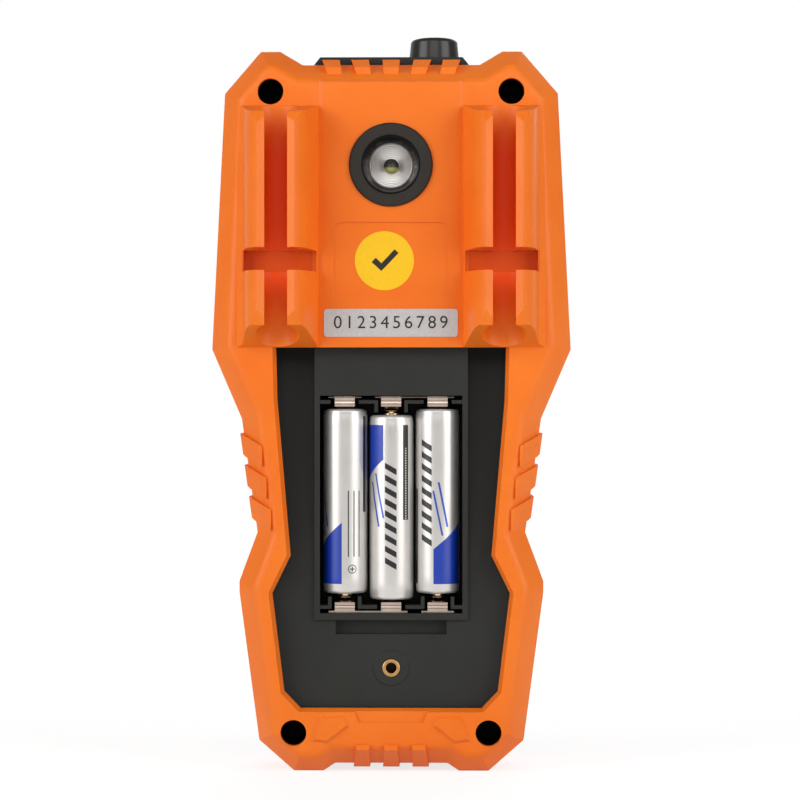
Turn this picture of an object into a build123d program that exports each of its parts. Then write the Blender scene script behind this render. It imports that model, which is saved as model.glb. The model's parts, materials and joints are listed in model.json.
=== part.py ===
"""Handheld digital multimeter with its battery cover off: housing, probe clips, torch, cells and works.

The meter stands on its foot. X runs across it, Z runs up it and Y runs through it from the back, which
faces -Y and carries the probe clips, to the front, which faces +Y and carries the display and the range
knob. The origin is the middle of the footprint. All sizes are in millimetres.
"""

import math
import os

from build123d import *

# ---------------------------------------------------------------------------- outline, seen from the back
SHOULDER_W = 84.4   # widest point
HEAD_W = 78.4       # under the head's corner bevels
NECK_W = 70.4       # top of the grip
WAIST_W = 63.0      # narrowest point
HIP_W = 71.6
HEEL_W = 62.2       # over the foot's corner bevels
FOOT_OUT_W = 45.8   # over the two feet
FOOT_W = 7.0        # flat under one foot
FOOT_RUN = 2.7      # slope inside it, across the meter
EAR_OUT_W = 61.4    # over the two ears at the head
EAR_W = 4.6         # flat on one ear
EAR_RUN = 5.3       # slope inside it, down to the crown

FOOT_LIFT = 1.8     # the level stretch stands this far off the ground
HEEL_H = 7.2
THIGH_H = 34.8
HIP_H = 2.6
FLARE_H = 11.5
GRIP_H = 26.7
NECK_H = 16.3
CHEST_H = 60.2
EAR_H = 9.9
CROWN_DROP = 3.15   # the crown lies this far below the ears

# ---------------------------------------------------------------------------- depth, from the back forwards
CLIP_H = 11.6       # probe clips over the rear face
REAR_BEVEL_D = 5.5
REAR_BEVEL_IN = 4.2
REAR_WALL_D = 10.5
FRONT_WALL_D = 10.7
FRONT_BEVEL_D = 2.7
FRONT_BEVEL_IN = 2.6
KNOB_PROUD = 5.0    # range knob over the front rim

WALL = 2.2          # shell walls
EDGE_R = 0.9        # soft moulded edges of the shells
FACE_EDGE_R = 3.0   # round the rear face, where it turns into its bevel
TONGUE_T = 1.0      # tongue and groove at the parting line
TONGUE_H = 1.2
SLIP = 0.1          # clearance between parts that are put together and stay put
RUN = 0.06          # radial clearance between parts that move on each other
KEY_SLIP = 0.2      # clearance round a push button

# ---------------------------------------------------------------------------- rear face
PANEL_RISE = 0.5    # the middle of the rear face stands proud of the ears
PANEL_RAMP = 1.2
WINDOW_TOP_W = 53.8  # battery window at the inner face, top edge
WINDOW_UPPER_W = 53.2
WINDOW_UPPER_H = 12.3
WINDOW_RISE = 0.4    # top edge above the shoulder
WINDOW_DRAFT = 0.8   # the window is wider by this at the outer face
RIM_SIDE = 8.0       # orange rim beside the window
RIM_BOTTOM = 15.1
WINDOW_WAIST_DROP = 5.3
WINDOW_HEEL_W = 50.0
WINDOW_HEEL_H = 4.0
WINDOW_FOOT_W = 42.4
LABEL_W, LABEL_H, LABEL_R, LABEL_DEEP = 26.4, 16.7, 1.5, 0.3
LABEL_OVER_WINDOW = 20.8   # label field's middle above the window
THUMB_W, THUMB_FOOT_W, THUMB_H, THUMB_DEEP = 17.6, 15.0, 3.2, 0.5
PAD_RISE = 0.7             # embossed pads under the window
PAD_CORNERS = ((10.8, 1.6), (9.7, 4.1), (14.8, 8.1), (18.6, 7.6), (16.6, 1.7))   # X, drop below the window

# ---------------------------------------------------------------------------- grip, crown and foot ribs
RIB_PROUD = 0.85
GRIP_RIBS, GRIP_PITCH, GRIP_RIB_H, GRIP_RIB_START = 3, 7.45, 4.85, 4.1
GRIP_SLANT = 28.0          # degrees
CROWN_RIBS, CROWN_PITCH, CROWN_RIB_LEAN = 5, 6.85, 0.5
CROWN_RIB_FOOT_W, CROWN_RIB_TOP_W = 3.4, 4.1
CROWN_RIB_PROUD, CROWN_RIB_REACH, CROWN_RIB_RISE = 1.65, 2.55, 1.15   # off the bevel, down it, over the crown
FOOT_RIBS, FOOT_PITCH, FOOT_RIB_W, FOOT_RIB_TOP_W, FOOT_RIB_REACH = 3, 7.0, 4.0, 3.0, 4.9
FOOT_RIB_RISE = 0.4        # off the rear face

# ---------------------------------------------------------------------------- case screws
SCREW_HEAD_IN = 9.9        # screw holes below the top of the ears
SCREW_HEAD_SPAN = 56.3     # between the two upper holes
SCREW_FOOT_Z = 9.4
SCREW_FOOT_SPAN = 45.6
WELL_R, WELL_D, WELL_FLOOR = 3.05, 12.0, 2.6
SLEEVE_WALL = 1.0
SCREW_R, SCREW_L, SCREW_HEAD_R, SCREW_HEAD_H = 1.5, 11.0, 2.75, 2.0
SCREW_HOLE_R = 1.7
BOSS_R = 3.6

# ---------------------------------------------------------------------------- probe clips
CLIP_SPAN = 52.6           # between the two channels
CLIP_IN, CLIP_OUT = 9.5, 8.5   # from the channel's middle to the clip's inner and outer side
CLIP_WALL = 2.25            # round the channel
CHANNEL_R = 5.2
CHANNEL_FLOOR = 0.3        # left under the channel
SLOT_W = 5.3
LIP_W = 1.6                # the slot's bevelled lips
LIP_BEVEL = 0.8
CLIP_TOP_OVER_WINDOW = 56.5
CLIP_TOP_SLOPE, CLIP_FOOT_SLOPE = 4.8, 8.4     # the ends lean in by this from the rear face to the crest
CLIP_TOP_KNEE, CLIP_FOOT_KNEE, CLIP_KNEE_D = 2.2, 5.0, 1.6   # by this up to a knee, this far under the crest
CLIP_FLARE = 1.2           # skirt along the outer side's foot
CLIP_ROOT = 0.5            # drawn under the rear face, to be cut to its rounded edge
GUARD_H, GUARD_OVER_WINDOW = 5.3, 17.6    # gap that takes the probe's finger guard
GUARD_CHEEK_T, GUARD_CHEEK_H, GUARD_LEAN = 0.55, 3.0, 0.5

# ---------------------------------------------------------------------------- torch
TORCH_BELOW_TOP = 27.1
BEZEL_R, BEZEL_PROUD, BEZEL_MOUTH_R, BEZEL_STEM_R, BEZEL_STEM_L = 9.8, 0.9, 6.95, 7.8, 8.4
FUNNEL_D, FUNNEL_STEP = 3.6, 0.45
REFLECTOR_R, REFLECTOR_D, REFLECTOR_EYE_R, REFLECTOR_RINGS, REFLECTOR_T = 5.15, 2.4, 1.85, 8, 0.8
EMITTER_R, EMITTER_BASE_R = 1.5, 1.75
TORCH_BOARD_T = 1.2
PIN_R, PIN_PITCH = 0.4, 5.08

# ---------------------------------------------------------------------------- cells and their tray
CELL_R, CELL_L, CELL_NUB_R, CELL_NUB_H, CELL_EDGE_R = 5.2, 44.5, 1.9, 1.1, 0.45
CELL_PITCH = 10.9
CELLS = 3
BAY_SIDE_GAP = 0.6
NEG_REACH, POS_REACH = 3.1, 3.45     # from the bay's end wall to the cell
HEADER_H = 11.3                      # tray above the bay
FRAME_T = 1.3                        # raised frame beside the bay
FRAME_FOOT_T = 1.6
FRAME_SINK = 1.0                     # the frame lies this far under the shell's inner face
CELL_SINK = 0.2
BAY_FLOOR_T = 1.4
TRAY_T, TRAY_LAP = 1.8, 0.8
FLOOR_SINK, GULLY_SINK = 0.7, 5.2    # tray floor under the frame, low down and at the top
GULLY_H = 49.0                       # the floor slopes over this height
CATCH_W, CATCH_H, CATCH_D, CATCH_WALL = 26.0, 3.3, 2.2, 1.0
INSERT_UNDER_BAY = 12.85
INSERT_R, INSERT_BORE_R, INSERT_L, INSERT_PROUD, INSERT_WALL = 2.1, 1.27, 5.0, 0.15, 1.3
INSERT_PAD_R, INSERT_PAD_RISE = 4.15, 0.25

CONTACT_T, PLATE_W, LEAF_W, TIP_W = 0.4, 7.6, 4.7, 4.0
PLATE_SINK, BAR_BACK, BAR_T, BAR_GAP_W = 0.7, 1.0, 0.9, 6.6
POST_T, POST_SPAN, POST_REACH = 0.85, 7.0, 2.0
LEAF_FOLD = 2.3

# ---------------------------------------------------------------------------- head cap and sensor tip
CAP_TOP_W, CAP_W, CAP_OVER_CROWN, CAP_CHAMFER_H = 33.6, 36.8, 2.0, 2.0
CAP_BACK_D, CAP_WALL, CAP_H = 9.0, 1.6, 9.0
TIP_X, TIP_BASE_R, TIP_TOP_R, TIP_H, TIP_ROUND = 10.1, 6.1, 5.6, 5.1, 1.3
TIP_NECK_R, TIP_BORE_R, TIP_FROM_BACK = 4.6, 2.1, 8.0
COIL_R, CORE_R = 3.9, 2.0

# ---------------------------------------------------------------------------- front
RIM_T, PANEL_T = 2.2, 2.2
OPENING_IN = 4.6          # the front opening inside the core outline's wall
LENS_W, LENS_H, LENS_T, LENS_LAP, LENS_R = 60.0, 38.0, 1.0, 2.6, 2.0
DISPLAY_BELOW_TOP = 37.2
GLASS_T, ZEBRA_W, FRAME_WALL = 2.0, 2.2, 1.4
KEY_W, KEY_H, KEY_R, KEY_PROUD, KEY_LIP, KEY_LIP_T = 11.0, 5.6, 1.3, 1.5, 0.8, 1.0
KEYS, KEY_PITCH, KEY_BELOW_TOP = 4, 14.6, 65.0
ROUND_KEY_R, ROUND_KEY_SPAN, ROUND_KEY_BELOW_TOP = 4.2, 51.0, 79.0
KEY_TRAVEL = 0.8
KEY_POST_R, SWITCH_W, SWITCH_H = 1.5, 6.0, 4.2
KNOB_R, KNOB_DISC_T, KNOB_HUB_R, KNOB_BAR_W, KNOB_GAP = 19.0, 3.0, 7.0, 9.0, 0.3
KNOB_OVER_WAIST = 7.4
KNOB_SCALLOPS, KNOB_SCALLOP_R = 24, 0.9
MARK_W, MARK_L, MARK_D = 1.6, 9.0, 0.4
CARRIER_R, CARRIER_T, CARRIER_OVER_BOARD = 16.5, 2.6, 1.0
BALL_R, BALL_CIRCLE_R = 1.25, 14.0
DETENT_IN_R, DETENT_OUT_R, DETENTS, DETENT_NOTCH = 12.4, 15.6, 20, 1.0
WIPERS, WIPER_R, WIPER_W = 3, 11.0, 2.0
JACKS, JACK_PITCH, JACK_Z = 4, 12.6, 20.4
JACK_R, JACK_BORE_R, JACK_L, JACK_WALL_END = 2.7, 2.0, 12.0, 1.0
BUSH_R, BUSH_BORE_R, BUSH_FLANGE_R, BUSH_FLANGE_T, JACK_SINK = 4.9, 4.0, 5.7, 0.8, 2.6

# ---------------------------------------------------------------------------- circuit board
BOARD_T, BOARD_GAP, BOARD_IN, BOARD_TOP_GAP = 1.6, 0.8, 1.2, 3.5
POST_R, POST_SCREW_R, POST_SCREW_L = 2.6, 1.0, 5.0
BOARD_POSTS = ((-26.0, 47.0), (26.0, 47.0), (-31.5, 109.0), (31.5, 109.0))
CHIP_W, CHIP_T = 14.0, 1.8
FUSE_R, FUSE_L, FUSE_CAP_L = 3.1, 30.0, 6.0
SMALL_FUSE_R, SMALL_FUSE_L = 2.5, 20.0
BUZZER_R, BUZZER_T = 6.5, 2.6

# ========================================================================= places worked out from the sizes
HIP_LOW_Z = HEEL_H + THIGH_H
HIP_Z = HIP_LOW_Z + HIP_H
WAIST_Z = HIP_Z + FLARE_H
NECK_Z = WAIST_Z + GRIP_H
SHOULDER_Z = NECK_Z + NECK_H
HEAD_Z = SHOULDER_Z + CHEST_H
TOP_Z = HEAD_Z + EAR_H
CROWN_Z = TOP_Z - CROWN_DROP
FOOT_IN_W = FOOT_OUT_W - 2 * FOOT_W    # between the feet
EAR_IN_W = EAR_OUT_W - 2 * EAR_W       # between the ears

DEPTH = CLIP_H + REAR_BEVEL_D + REAR_WALL_D + FRONT_WALL_D + FRONT_BEVEL_D + KNOB_PROUD
CREST_Y = -DEPTH / 2
BACK_Y = CREST_Y + CLIP_H                  # rear face
PANEL_Y = BACK_Y - PANEL_RISE              # its raised middle
REAR_BEVEL_Y = BACK_Y + REAR_BEVEL_D
PARTING_Y = REAR_BEVEL_Y + REAR_WALL_D
FRONT_BEVEL_Y = PARTING_Y + FRONT_WALL_D
RIM_Y = FRONT_BEVEL_Y + FRONT_BEVEL_D      # front rim
FACE_Y = RIM_Y - RIM_T                     # face plate, outside
FACE_IN_Y = FACE_Y - PANEL_T
INNER_BACK_Y = BACK_Y + WALL

FRAME_Y = INNER_BACK_Y + FRAME_SINK
CELL_Y = FRAME_Y + CELL_SINK + CELL_R
BAY_FLOOR_Y = CELL_Y + CELL_R + CELL_SINK
BAY_BACK_Y = BAY_FLOOR_Y + BAY_FLOOR_T
BOARD_Y = BAY_BACK_Y + BOARD_GAP
BOARD_FRONT_Y = BOARD_Y + BOARD_T

WINDOW_Z = SHOULDER_Z + WINDOW_RISE
BAY_TOP_Z = WINDOW_Z - HEADER_H
BAY_FOOT_Z = BAY_TOP_Z - NEG_REACH - CELL_L - POS_REACH
BAY_HALF_W = (CELLS - 1) / 2 * CELL_PITCH + CELL_R + BAY_SIDE_GAP
FLOOR_Y = FRAME_Y + FLOOR_SINK
INSERT_Z = BAY_FOOT_Z - INSERT_UNDER_BAY
FUSE_Z = INSERT_Z + INSERT_R + INSERT_WALL + FUSE_R + 2 * CONTACT_T
TORCH_Z = TOP_Z - TORCH_BELOW_TOP
CLIP_X = CLIP_SPAN / 2
CLIP_TOP_Z = WINDOW_Z + CLIP_TOP_OVER_WINDOW
CHANNEL_Y = BACK_Y - CHANNEL_FLOOR - CHANNEL_R
DISPLAY_Z = TOP_Z - DISPLAY_BELOW_TOP
KNOB_Z = WAIST_Z + KNOB_OVER_WAIST
CAP_TOP_Z = CROWN_Z + CAP_OVER_CROWN
CAP_BACK_Y = REAR_BEVEL_Y + REAR_WALL_D - CAP_BACK_D
CAP_FRONT_Y = FACE_IN_Y - SLIP
CAP_FOOT_Z = CAP_TOP_Z - CAP_H
TIP_Y = CAP_BACK_Y + TIP_FROM_BACK
SEAT_Y = BACK_Y + WELL_D                   # under the case screws' heads
WELL_END_Y = SEAT_Y + WELL_FLOOR
SLEEVE_BORE_R = WELL_R - SLIP
SLEEVE_R = SLEEVE_BORE_R + SLEEVE_WALL
SCREW_SPOTS = [
    (side * span / 2, z)
    for span, z in ((SCREW_HEAD_SPAN, TOP_Z - SCREW_HEAD_IN), (SCREW_FOOT_SPAN, SCREW_FOOT_Z))
    for side in (-1, 1)
]
CELL_XS = [(k - (CELLS - 1) / 2) * CELL_PITCH for k in range(CELLS)]
JACK_XS = [(k - (JACKS - 1) / 2) * JACK_PITCH for k in range(JACKS)]
KEY_XS = [(k - (KEYS - 1) / 2) * KEY_PITCH for k in range(KEYS)]


# ============================================================================ helpers
def mirrored(half):
    """The whole outline from its right half, which runs upwards."""
    return list(half) + [(-x, z) for x, z in reversed(half)]


def inset(points, distance):
    """The closed outline with every side moved inwards by distance, or outwards if it is negative."""
    sides = []
    for (x0, z0), (x1, z1) in zip(points, points[1:] + points[:1]):
        length = math.hypot(x1 - x0, z1 - z0)
        nx, nz = -(z1 - z0) / length, (x1 - x0) / length
        sides.append((x0 + nx * distance, z0 + nz * distance, x1 - x0, z1 - z0))
    moved = []
    for (ax, az, adx, adz), (bx, bz, bdx, bdz) in zip(sides[-1:] + sides[:-1], sides):
        along = ((bx - ax) * bdz - (bz - az) * bdx) / (adx * bdz - adz * bdx)
        moved.append((ax + adx * along, az + adz * along))
    return moved


def plane_at(y):
    """The plane across the meter at depth y, facing the back: its own axes are X and Z."""
    return Plane.XZ.offset(-y)


def face_at(points, y):
    return plane_at(y) * Polygon(*points, align=None)


def prism(points, y_back, y_front):
    return extrude(face_at(points, y_back), amount=y_front - y_back, dir=(0, 1, 0))


def slab(sketch, y_back, y_front):
    """A sketch drawn in X and Z, as a plate between two depths."""
    return extrude(plane_at(y_back) * sketch, amount=y_front - y_back, dir=(0, 1, 0))


def box(x0, x1, y0, y1, z0, z1):
    middle = ((x0 + x1) / 2, (y0 + y1) / 2, (z0 + z1) / 2)
    return Pos(*middle) * Box(x1 - x0, y1 - y0, z1 - z0)


def rod(x, z, radius, y_back, y_front):
    """A round bar along Y."""
    return slab(Pos(x, z) * Circle(radius), y_back, y_front)


def turned(profile, x, z):
    """A solid of revolution about a line along Y, from (radius, y) points."""
    face = Plane.XY * Polygon(*profile, align=None)
    return Pos(x, 0, z) * revolve(face, Axis.Y)


def side_profile(points, x0, x1):
    """A prism along X, from (y, z) points."""
    face = Plane.YZ.offset(x0) * Polygon(*points, align=None)
    return extrude(face, amount=x1 - x0, dir=(1, 0, 0))


def ribbon(points, thickness):
    """The outline of a bent strip of sheet metal, from the points of its middle line."""
    normals = []
    for (x0, y0), (x1, y1) in zip(points, points[1:]):
        length = math.hypot(x1 - x0, y1 - y0)
        normals.append((-(y1 - y0) / length, (x1 - x0) / length))
    left, right = [], []
    for i, (x, y) in enumerate(points):
        a, b = normals[max(i - 1, 0)], normals[min(i, len(normals) - 1)]
        mx, my = a[0] + b[0], a[1] + b[1]
        scale = thickness / (mx * mx + my * my)
        left.append((x + mx * scale, y + my * scale))
        right.append((x - mx * scale, y - my * scale))
    return left + right[::-1]


# ============================================================================ outlines
def case_outline():
    """The whole case: ears at the head, shoulders, waist, hips and feet."""
    return mirrored([
        (FOOT_IN_W / 2 - FOOT_RUN, FOOT_LIFT),
        (FOOT_IN_W / 2, 0),
        (FOOT_OUT_W / 2, 0),
        (HEEL_W / 2, HEEL_H),
        (HIP_W / 2, HIP_LOW_Z),
        (HIP_W / 2, HIP_Z),
        (WAIST_W / 2, WAIST_Z),
        (NECK_W / 2, NECK_Z),
        (SHOULDER_W / 2, SHOULDER_Z),
        (HEAD_W / 2, HEAD_Z),
        (EAR_OUT_W / 2, TOP_Z),
        (EAR_IN_W / 2, TOP_Z),
        (EAR_IN_W / 2 - EAR_RUN, CROWN_Z),
    ])


def core_outline():
    """The case without its ears and feet, which the hollow and the boards follow."""
    heel_x = HEEL_W / 2 - (HEEL_W - FOOT_OUT_W) / 2 * (HEEL_H - FOOT_LIFT) / HEEL_H
    head_x = HEAD_W / 2 - (HEAD_W - EAR_OUT_W) / 2 * (CROWN_Z - HEAD_Z) / EAR_H
    return mirrored([
        (heel_x, FOOT_LIFT),
        (HEEL_W / 2, HEEL_H),
        (HIP_W / 2, (HIP_LOW_Z + HIP_Z) / 2),
        (WAIST_W / 2, WAIST_Z),
        (NECK_W / 2, NECK_Z),
        (SHOULDER_W / 2, SHOULDER_Z),
        (HEAD_W / 2, HEAD_Z),
        (head_x, CROWN_Z),
    ])


def window_outline():
    """The battery window in the rear face."""
    return mirrored([
        (WINDOW_FOOT_W / 2, RIM_BOTTOM),
        (WINDOW_HEEL_W / 2, RIM_BOTTOM + WINDOW_HEEL_H),
        (HIP_W / 2 - RIM_SIDE, HIP_LOW_Z),
        (WAIST_W / 2 - RIM_SIDE, WAIST_Z - WINDOW_WAIST_DROP),
        (WINDOW_UPPER_W / 2, WINDOW_Z - WINDOW_UPPER_H),
        (WINDOW_TOP_W / 2, WINDOW_Z),
    ])


# ============================================================================ shells
def bevelled(outline, y_face, y_bevel, y_parting, bevel_in):
    """A block on the outline whose face is drawn in by bevel_in between y_bevel and y_face."""
    wall = prism(outline, min(y_bevel, y_parting), max(y_bevel, y_parting))
    cap = loft([face_at(outline, y_bevel), face_at(inset(outline, bevel_in), y_face)], ruled=True)
    return wall + cap


def rear_block(outline, grow=0.0, rise=0.0):
    """The rear half of the case, grown sideways or with its face raised along the same bevel."""
    bevel_in = REAR_BEVEL_IN * (REAR_BEVEL_D + rise) / REAR_BEVEL_D
    return bevelled(inset(outline, -grow), BACK_Y - rise, REAR_BEVEL_Y, PARTING_Y, bevel_in)


def front_block(outline, grow=0.0):
    return bevelled(inset(outline, -grow), RIM_Y, FRONT_BEVEL_Y, PARTING_Y, FRONT_BEVEL_IN)


def softened(block, y_face, y_bevel, face_r):
    """The block with its face's edges rounded by face_r, and its corners and its bevel's foot by EDGE_R."""
    block = fillet([e for e in block.edges() if abs(e.center().Y - y_face) < SLIP], face_r)
    bevel_foot = [e for e in block.edges() if abs(e.center().Y - y_bevel) < SLIP]
    corners = [e for e in block.edges() if e.geom_type == GeomType.LINE and abs((e @ 1 - e @ 0).Y) > EDGE_R]
    return fillet(bevel_foot + corners, EDGE_R)


def rear_body():
    """The rear half of the case before it is hollowed and cut."""
    return softened(rear_block(case_outline()), BACK_Y, REAR_BEVEL_Y, FACE_EDGE_R)


def grip_rib_areas():
    """Slanted areas, on both sides, that the grip's ribs fill."""
    slant = math.tan(math.radians(GRIP_SLANT))
    areas = []
    for k in range(GRIP_RIBS):
        top = NECK_Z - GRIP_RIB_START - k * GRIP_PITCH
        foot = top - GRIP_RIB_H
        share = ((top + foot) / 2 - WAIST_Z) / GRIP_H
        edge = (WAIST_W + (NECK_W - WAIST_W) * share) / 2
        reach = REAR_BEVEL_IN
        half = [
            (edge - reach, top - reach * slant),
            (edge - reach, foot - reach * slant),
            (edge, foot),
            (edge + reach, foot + reach),
            (edge + reach, top + reach * slant),
        ]
        areas += [half, [(-x, z) for x, z in half]]
    return areas


def crown_rib_areas():
    """Leaning areas along the crown."""
    areas = []
    for k in range(CROWN_RIBS):
        x = (k - (CROWN_RIBS - 1) / 2) * CROWN_PITCH
        lean = CROWN_RIB_LEAN * ((x > 0) - (x < 0))
        foot, top = CROWN_Z - CROWN_RIB_REACH, CROWN_Z + CROWN_RIB_RISE
        areas.append([
            (x - CROWN_RIB_FOOT_W / 2 - lean, foot),
            (x + CROWN_RIB_FOOT_W / 2 - lean, foot),
            (x + CROWN_RIB_TOP_W / 2 + lean, top),
            (x - CROWN_RIB_TOP_W / 2 + lean, top),
        ])
    return areas


def foot_rib_areas():
    """Areas between the feet, wider at the ground."""
    areas = []
    for k in range(FOOT_RIBS):
        x = (k - (FOOT_RIBS - 1) / 2) * FOOT_PITCH
        lean = (FOOT_RIB_W - FOOT_RIB_TOP_W) / 2 * ((x < 0) - (x > 0))
        top = FOOT_LIFT + FOOT_RIB_REACH
        areas.append([
            (x - FOOT_RIB_W / 2, 0),
            (x + FOOT_RIB_W / 2, 0),
            (x + FOOT_RIB_TOP_W / 2 + lean, top),
            (x - FOOT_RIB_TOP_W / 2 + lean, top),
        ])
    return areas


def ribs(block, areas, y_back, y_front):
    """What the areas take of a block that stands proud of the shell."""
    return [block & prism(area, y_back, y_front) for area in areas]


def embossed_pads():
    """The two five-sided pads under the window, as areas."""
    right = [(x, RIM_BOTTOM - drop) for x, drop in PAD_CORNERS]
    return [right, [(-x, z) for x, z in reversed(right)]]


def raised_panel(outline):
    """The raised middle of the rear face, with a ramp down to the clips on each side."""
    foot_x = CLIP_X - CLIP_IN
    profile = [
        (-foot_x, BACK_Y + PANEL_RISE),
        (foot_x, BACK_Y + PANEL_RISE),
        (foot_x, BACK_Y),
        (foot_x - PANEL_RAMP, PANEL_Y),
        (PANEL_RAMP - foot_x, PANEL_Y),
        (-foot_x, BACK_Y),
    ]
    section = Plane.XY.offset(WINDOW_Z) * Polygon(*profile, align=None)
    ramped = extrude(section, amount=TOP_Z - WINDOW_Z, dir=(0, 0, 1))
    return ramped & rear_block(outline, rise=PANEL_RISE)


def window_cut():
    """The battery window with its draft, which widens it at the sides and the bottom towards the outside."""
    window = window_outline()
    depth = INNER_BACK_Y - PANEL_Y
    wide = inset(window, -WINDOW_DRAFT * depth / WALL)
    cut = loft([face_at(wide, PANEL_Y), face_at(window, INNER_BACK_Y)], ruled=True)
    return cut & box(-SHOULDER_W / 2, SHOULDER_W / 2, PANEL_Y, INNER_BACK_Y, 0, WINDOW_Z)


def cap_notch(clearance):
    """The space that the head cap takes out of both shells."""
    half = CAP_W / 2 + clearance
    return box(-half, half, CAP_BACK_Y - clearance, CAP_FRONT_Y, CAP_FOOT_Z, TOP_Z)


def make_rear_shell():
    outline, core = case_outline(), core_outline()
    shell = rear_body()
    shell += ribs(rear_block(outline, RIB_PROUD), grip_rib_areas(), BACK_Y, PARTING_Y)
    foot_block = rear_block(outline, RIB_PROUD, FOOT_RIB_RISE)
    shell += ribs(foot_block, foot_rib_areas(), BACK_Y - FOOT_RIB_RISE, PARTING_Y)
    flush_y = REAR_BEVEL_Y - REAR_BEVEL_D * CROWN_RIB_REACH / REAR_BEVEL_IN
    shell += ribs(rear_block(outline, CROWN_RIB_PROUD), crown_rib_areas(), flush_y, PARTING_Y)
    shell += raised_panel(outline)
    hollow = bevelled(inset(core, WALL), INNER_BACK_Y, REAR_BEVEL_Y, PARTING_Y, REAR_BEVEL_IN)
    shell -= hollow
    shell -= prism(inset(core, WALL - TONGUE_T - SLIP), PARTING_Y - TONGUE_H - SLIP, PARTING_Y)
    for area in embossed_pads():
        shell += loft([face_at(area, BACK_Y), face_at(inset(area, PAD_RISE), BACK_Y - PAD_RISE)], ruled=True)
    for x, z in SCREW_SPOTS:
        shell -= rod(x, z, WELL_R, PANEL_Y, INNER_BACK_Y)
        shell -= rod(x, z, SLEEVE_R + SLIP / 4, INNER_BACK_Y, WELL_END_Y)
    shell -= window_cut()
    thumb = [
        (-THUMB_FOOT_W / 2, RIM_BOTTOM - THUMB_H),
        (THUMB_FOOT_W / 2, RIM_BOTTOM - THUMB_H),
        (THUMB_W / 2, RIM_BOTTOM),
        (-THUMB_W / 2, RIM_BOTTOM),
    ]
    shell -= prism(thumb, BACK_Y, BACK_Y + THUMB_DEEP)
    label = Pos(0, WINDOW_Z + LABEL_OVER_WINDOW) * RectangleRounded(LABEL_W, LABEL_H, LABEL_R)
    shell -= slab(label, PANEL_Y, PANEL_Y + LABEL_DEEP)
    shell -= rod(0, TORCH_Z, BEZEL_STEM_R + SLIP, PANEL_Y, INNER_BACK_Y)
    shell -= cap_notch(SLIP)
    return shell


def make_screw_sleeves():
    """The dark sleeves behind the rear shell's screw holes, each with a seat for a screw's head."""
    sleeves = []
    for x, z in SCREW_SPOTS:
        sleeve = rod(x, z, SLEEVE_R, INNER_BACK_Y, WELL_END_Y)
        sleeve -= rod(x, z, SLEEVE_BORE_R, INNER_BACK_Y, SEAT_Y)
        sleeves.append(sleeve - rod(x, z, SCREW_HOLE_R, SEAT_Y, WELL_END_Y))
    return sleeves


def make_front_shell():
    outline, core = case_outline(), core_outline()
    shell = softened(front_block(outline), RIM_Y, FRONT_BEVEL_Y, EDGE_R)
    proud = front_block(outline, grow=RIB_PROUD)
    shell += ribs(proud, grip_rib_areas() + foot_rib_areas(), PARTING_Y, FRONT_BEVEL_Y)
    shell -= prism(inset(core, WALL), PARTING_Y, FACE_Y)
    tongue_y = PARTING_Y - TONGUE_H
    tongue = prism(inset(core, WALL - TONGUE_T), tongue_y, PARTING_Y)
    shell += tongue - prism(inset(core, WALL), tongue_y, PARTING_Y)
    shell -= prism(inset(core, WALL + OPENING_IN), FACE_Y, RIM_Y)
    shell -= cap_notch(SLIP)
    return shell


def touch_point(x, y, radius, side):
    """Where the line from (x, y) touches a circle about the origin."""
    distance = math.hypot(x, y)
    angle = math.atan2(y, x) + side * math.acos(radius / distance)
    return radius * math.cos(angle), radius * math.sin(angle)


def clip_section():
    """A probe clip's section in X and Y, about the channel's middle, with X towards the meter's middle.

    It is a ring round the channel with flanks that flare to the rear face, open at the crest between two
    lips. Its root reaches under the rear face.
    """
    base, crest = BACK_Y + CLIP_ROOT - CHANNEL_Y, CREST_Y - CHANNEL_Y
    radius = CHANNEL_R + CLIP_WALL
    foot = [(CLIP_IN, base), (-CLIP_OUT, base)]
    flanks = [touch_point(-CLIP_OUT, base, radius, 1), touch_point(CLIP_IN, base, radius, -1)]
    block = Polygon(*foot, *flanks, align=None) + Circle(radius)
    block &= Pos(0, (base + crest) / 2) * Rectangle(CLIP_IN + CLIP_OUT + 2 * radius, base - crest)
    ridge = SLOT_W / 2 + LIP_W
    edge = SLOT_W / 2
    mouth = [(-ridge, crest), (-edge, crest + LIP_BEVEL), (edge, crest + LIP_BEVEL), (ridge, crest)]
    slot = Pos(0, crest / 2) * Rectangle(SLOT_W, -crest)
    return block - Circle(CHANNEL_R) - slot - Polygon(*mouth, align=None)


def clip_flare():
    """The skirt at the foot of the right clip's outer side, as far out as the rear face reaches."""
    foot_x = CLIP_X + CLIP_OUT
    corners = [
        (foot_x - CLIP_FLARE, BACK_Y + CLIP_ROOT),
        (foot_x + CLIP_FLARE, BACK_Y + CLIP_ROOT),
        (foot_x + CLIP_FLARE, BACK_Y),
        (foot_x - CLIP_FLARE, BACK_Y - 2 * CLIP_FLARE),
    ]
    section = Plane.XY.offset(WINDOW_Z) * Polygon(*corners, align=None)
    flare = extrude(section, amount=CLIP_TOP_Z - WINDOW_Z, dir=(0, 0, 1))
    return flare & prism(inset(case_outline(), REAR_BEVEL_IN), CREST_Y, BACK_Y + CLIP_ROOT)


def guard_gap(x0, x1, y_floor):
    """The gap for the finger guard, from the crest to a floor; its upper side leans in on the way down."""
    z0 = WINDOW_Z + GUARD_OVER_WINDOW
    lean = GUARD_LEAN * (y_floor - CREST_Y) / CLIP_H
    corners = [(CREST_Y, z0), (y_floor, z0), (y_floor, z0 + GUARD_H - lean), (CREST_Y, z0 + GUARD_H)]
    return side_profile(corners, x0, x1)


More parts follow.
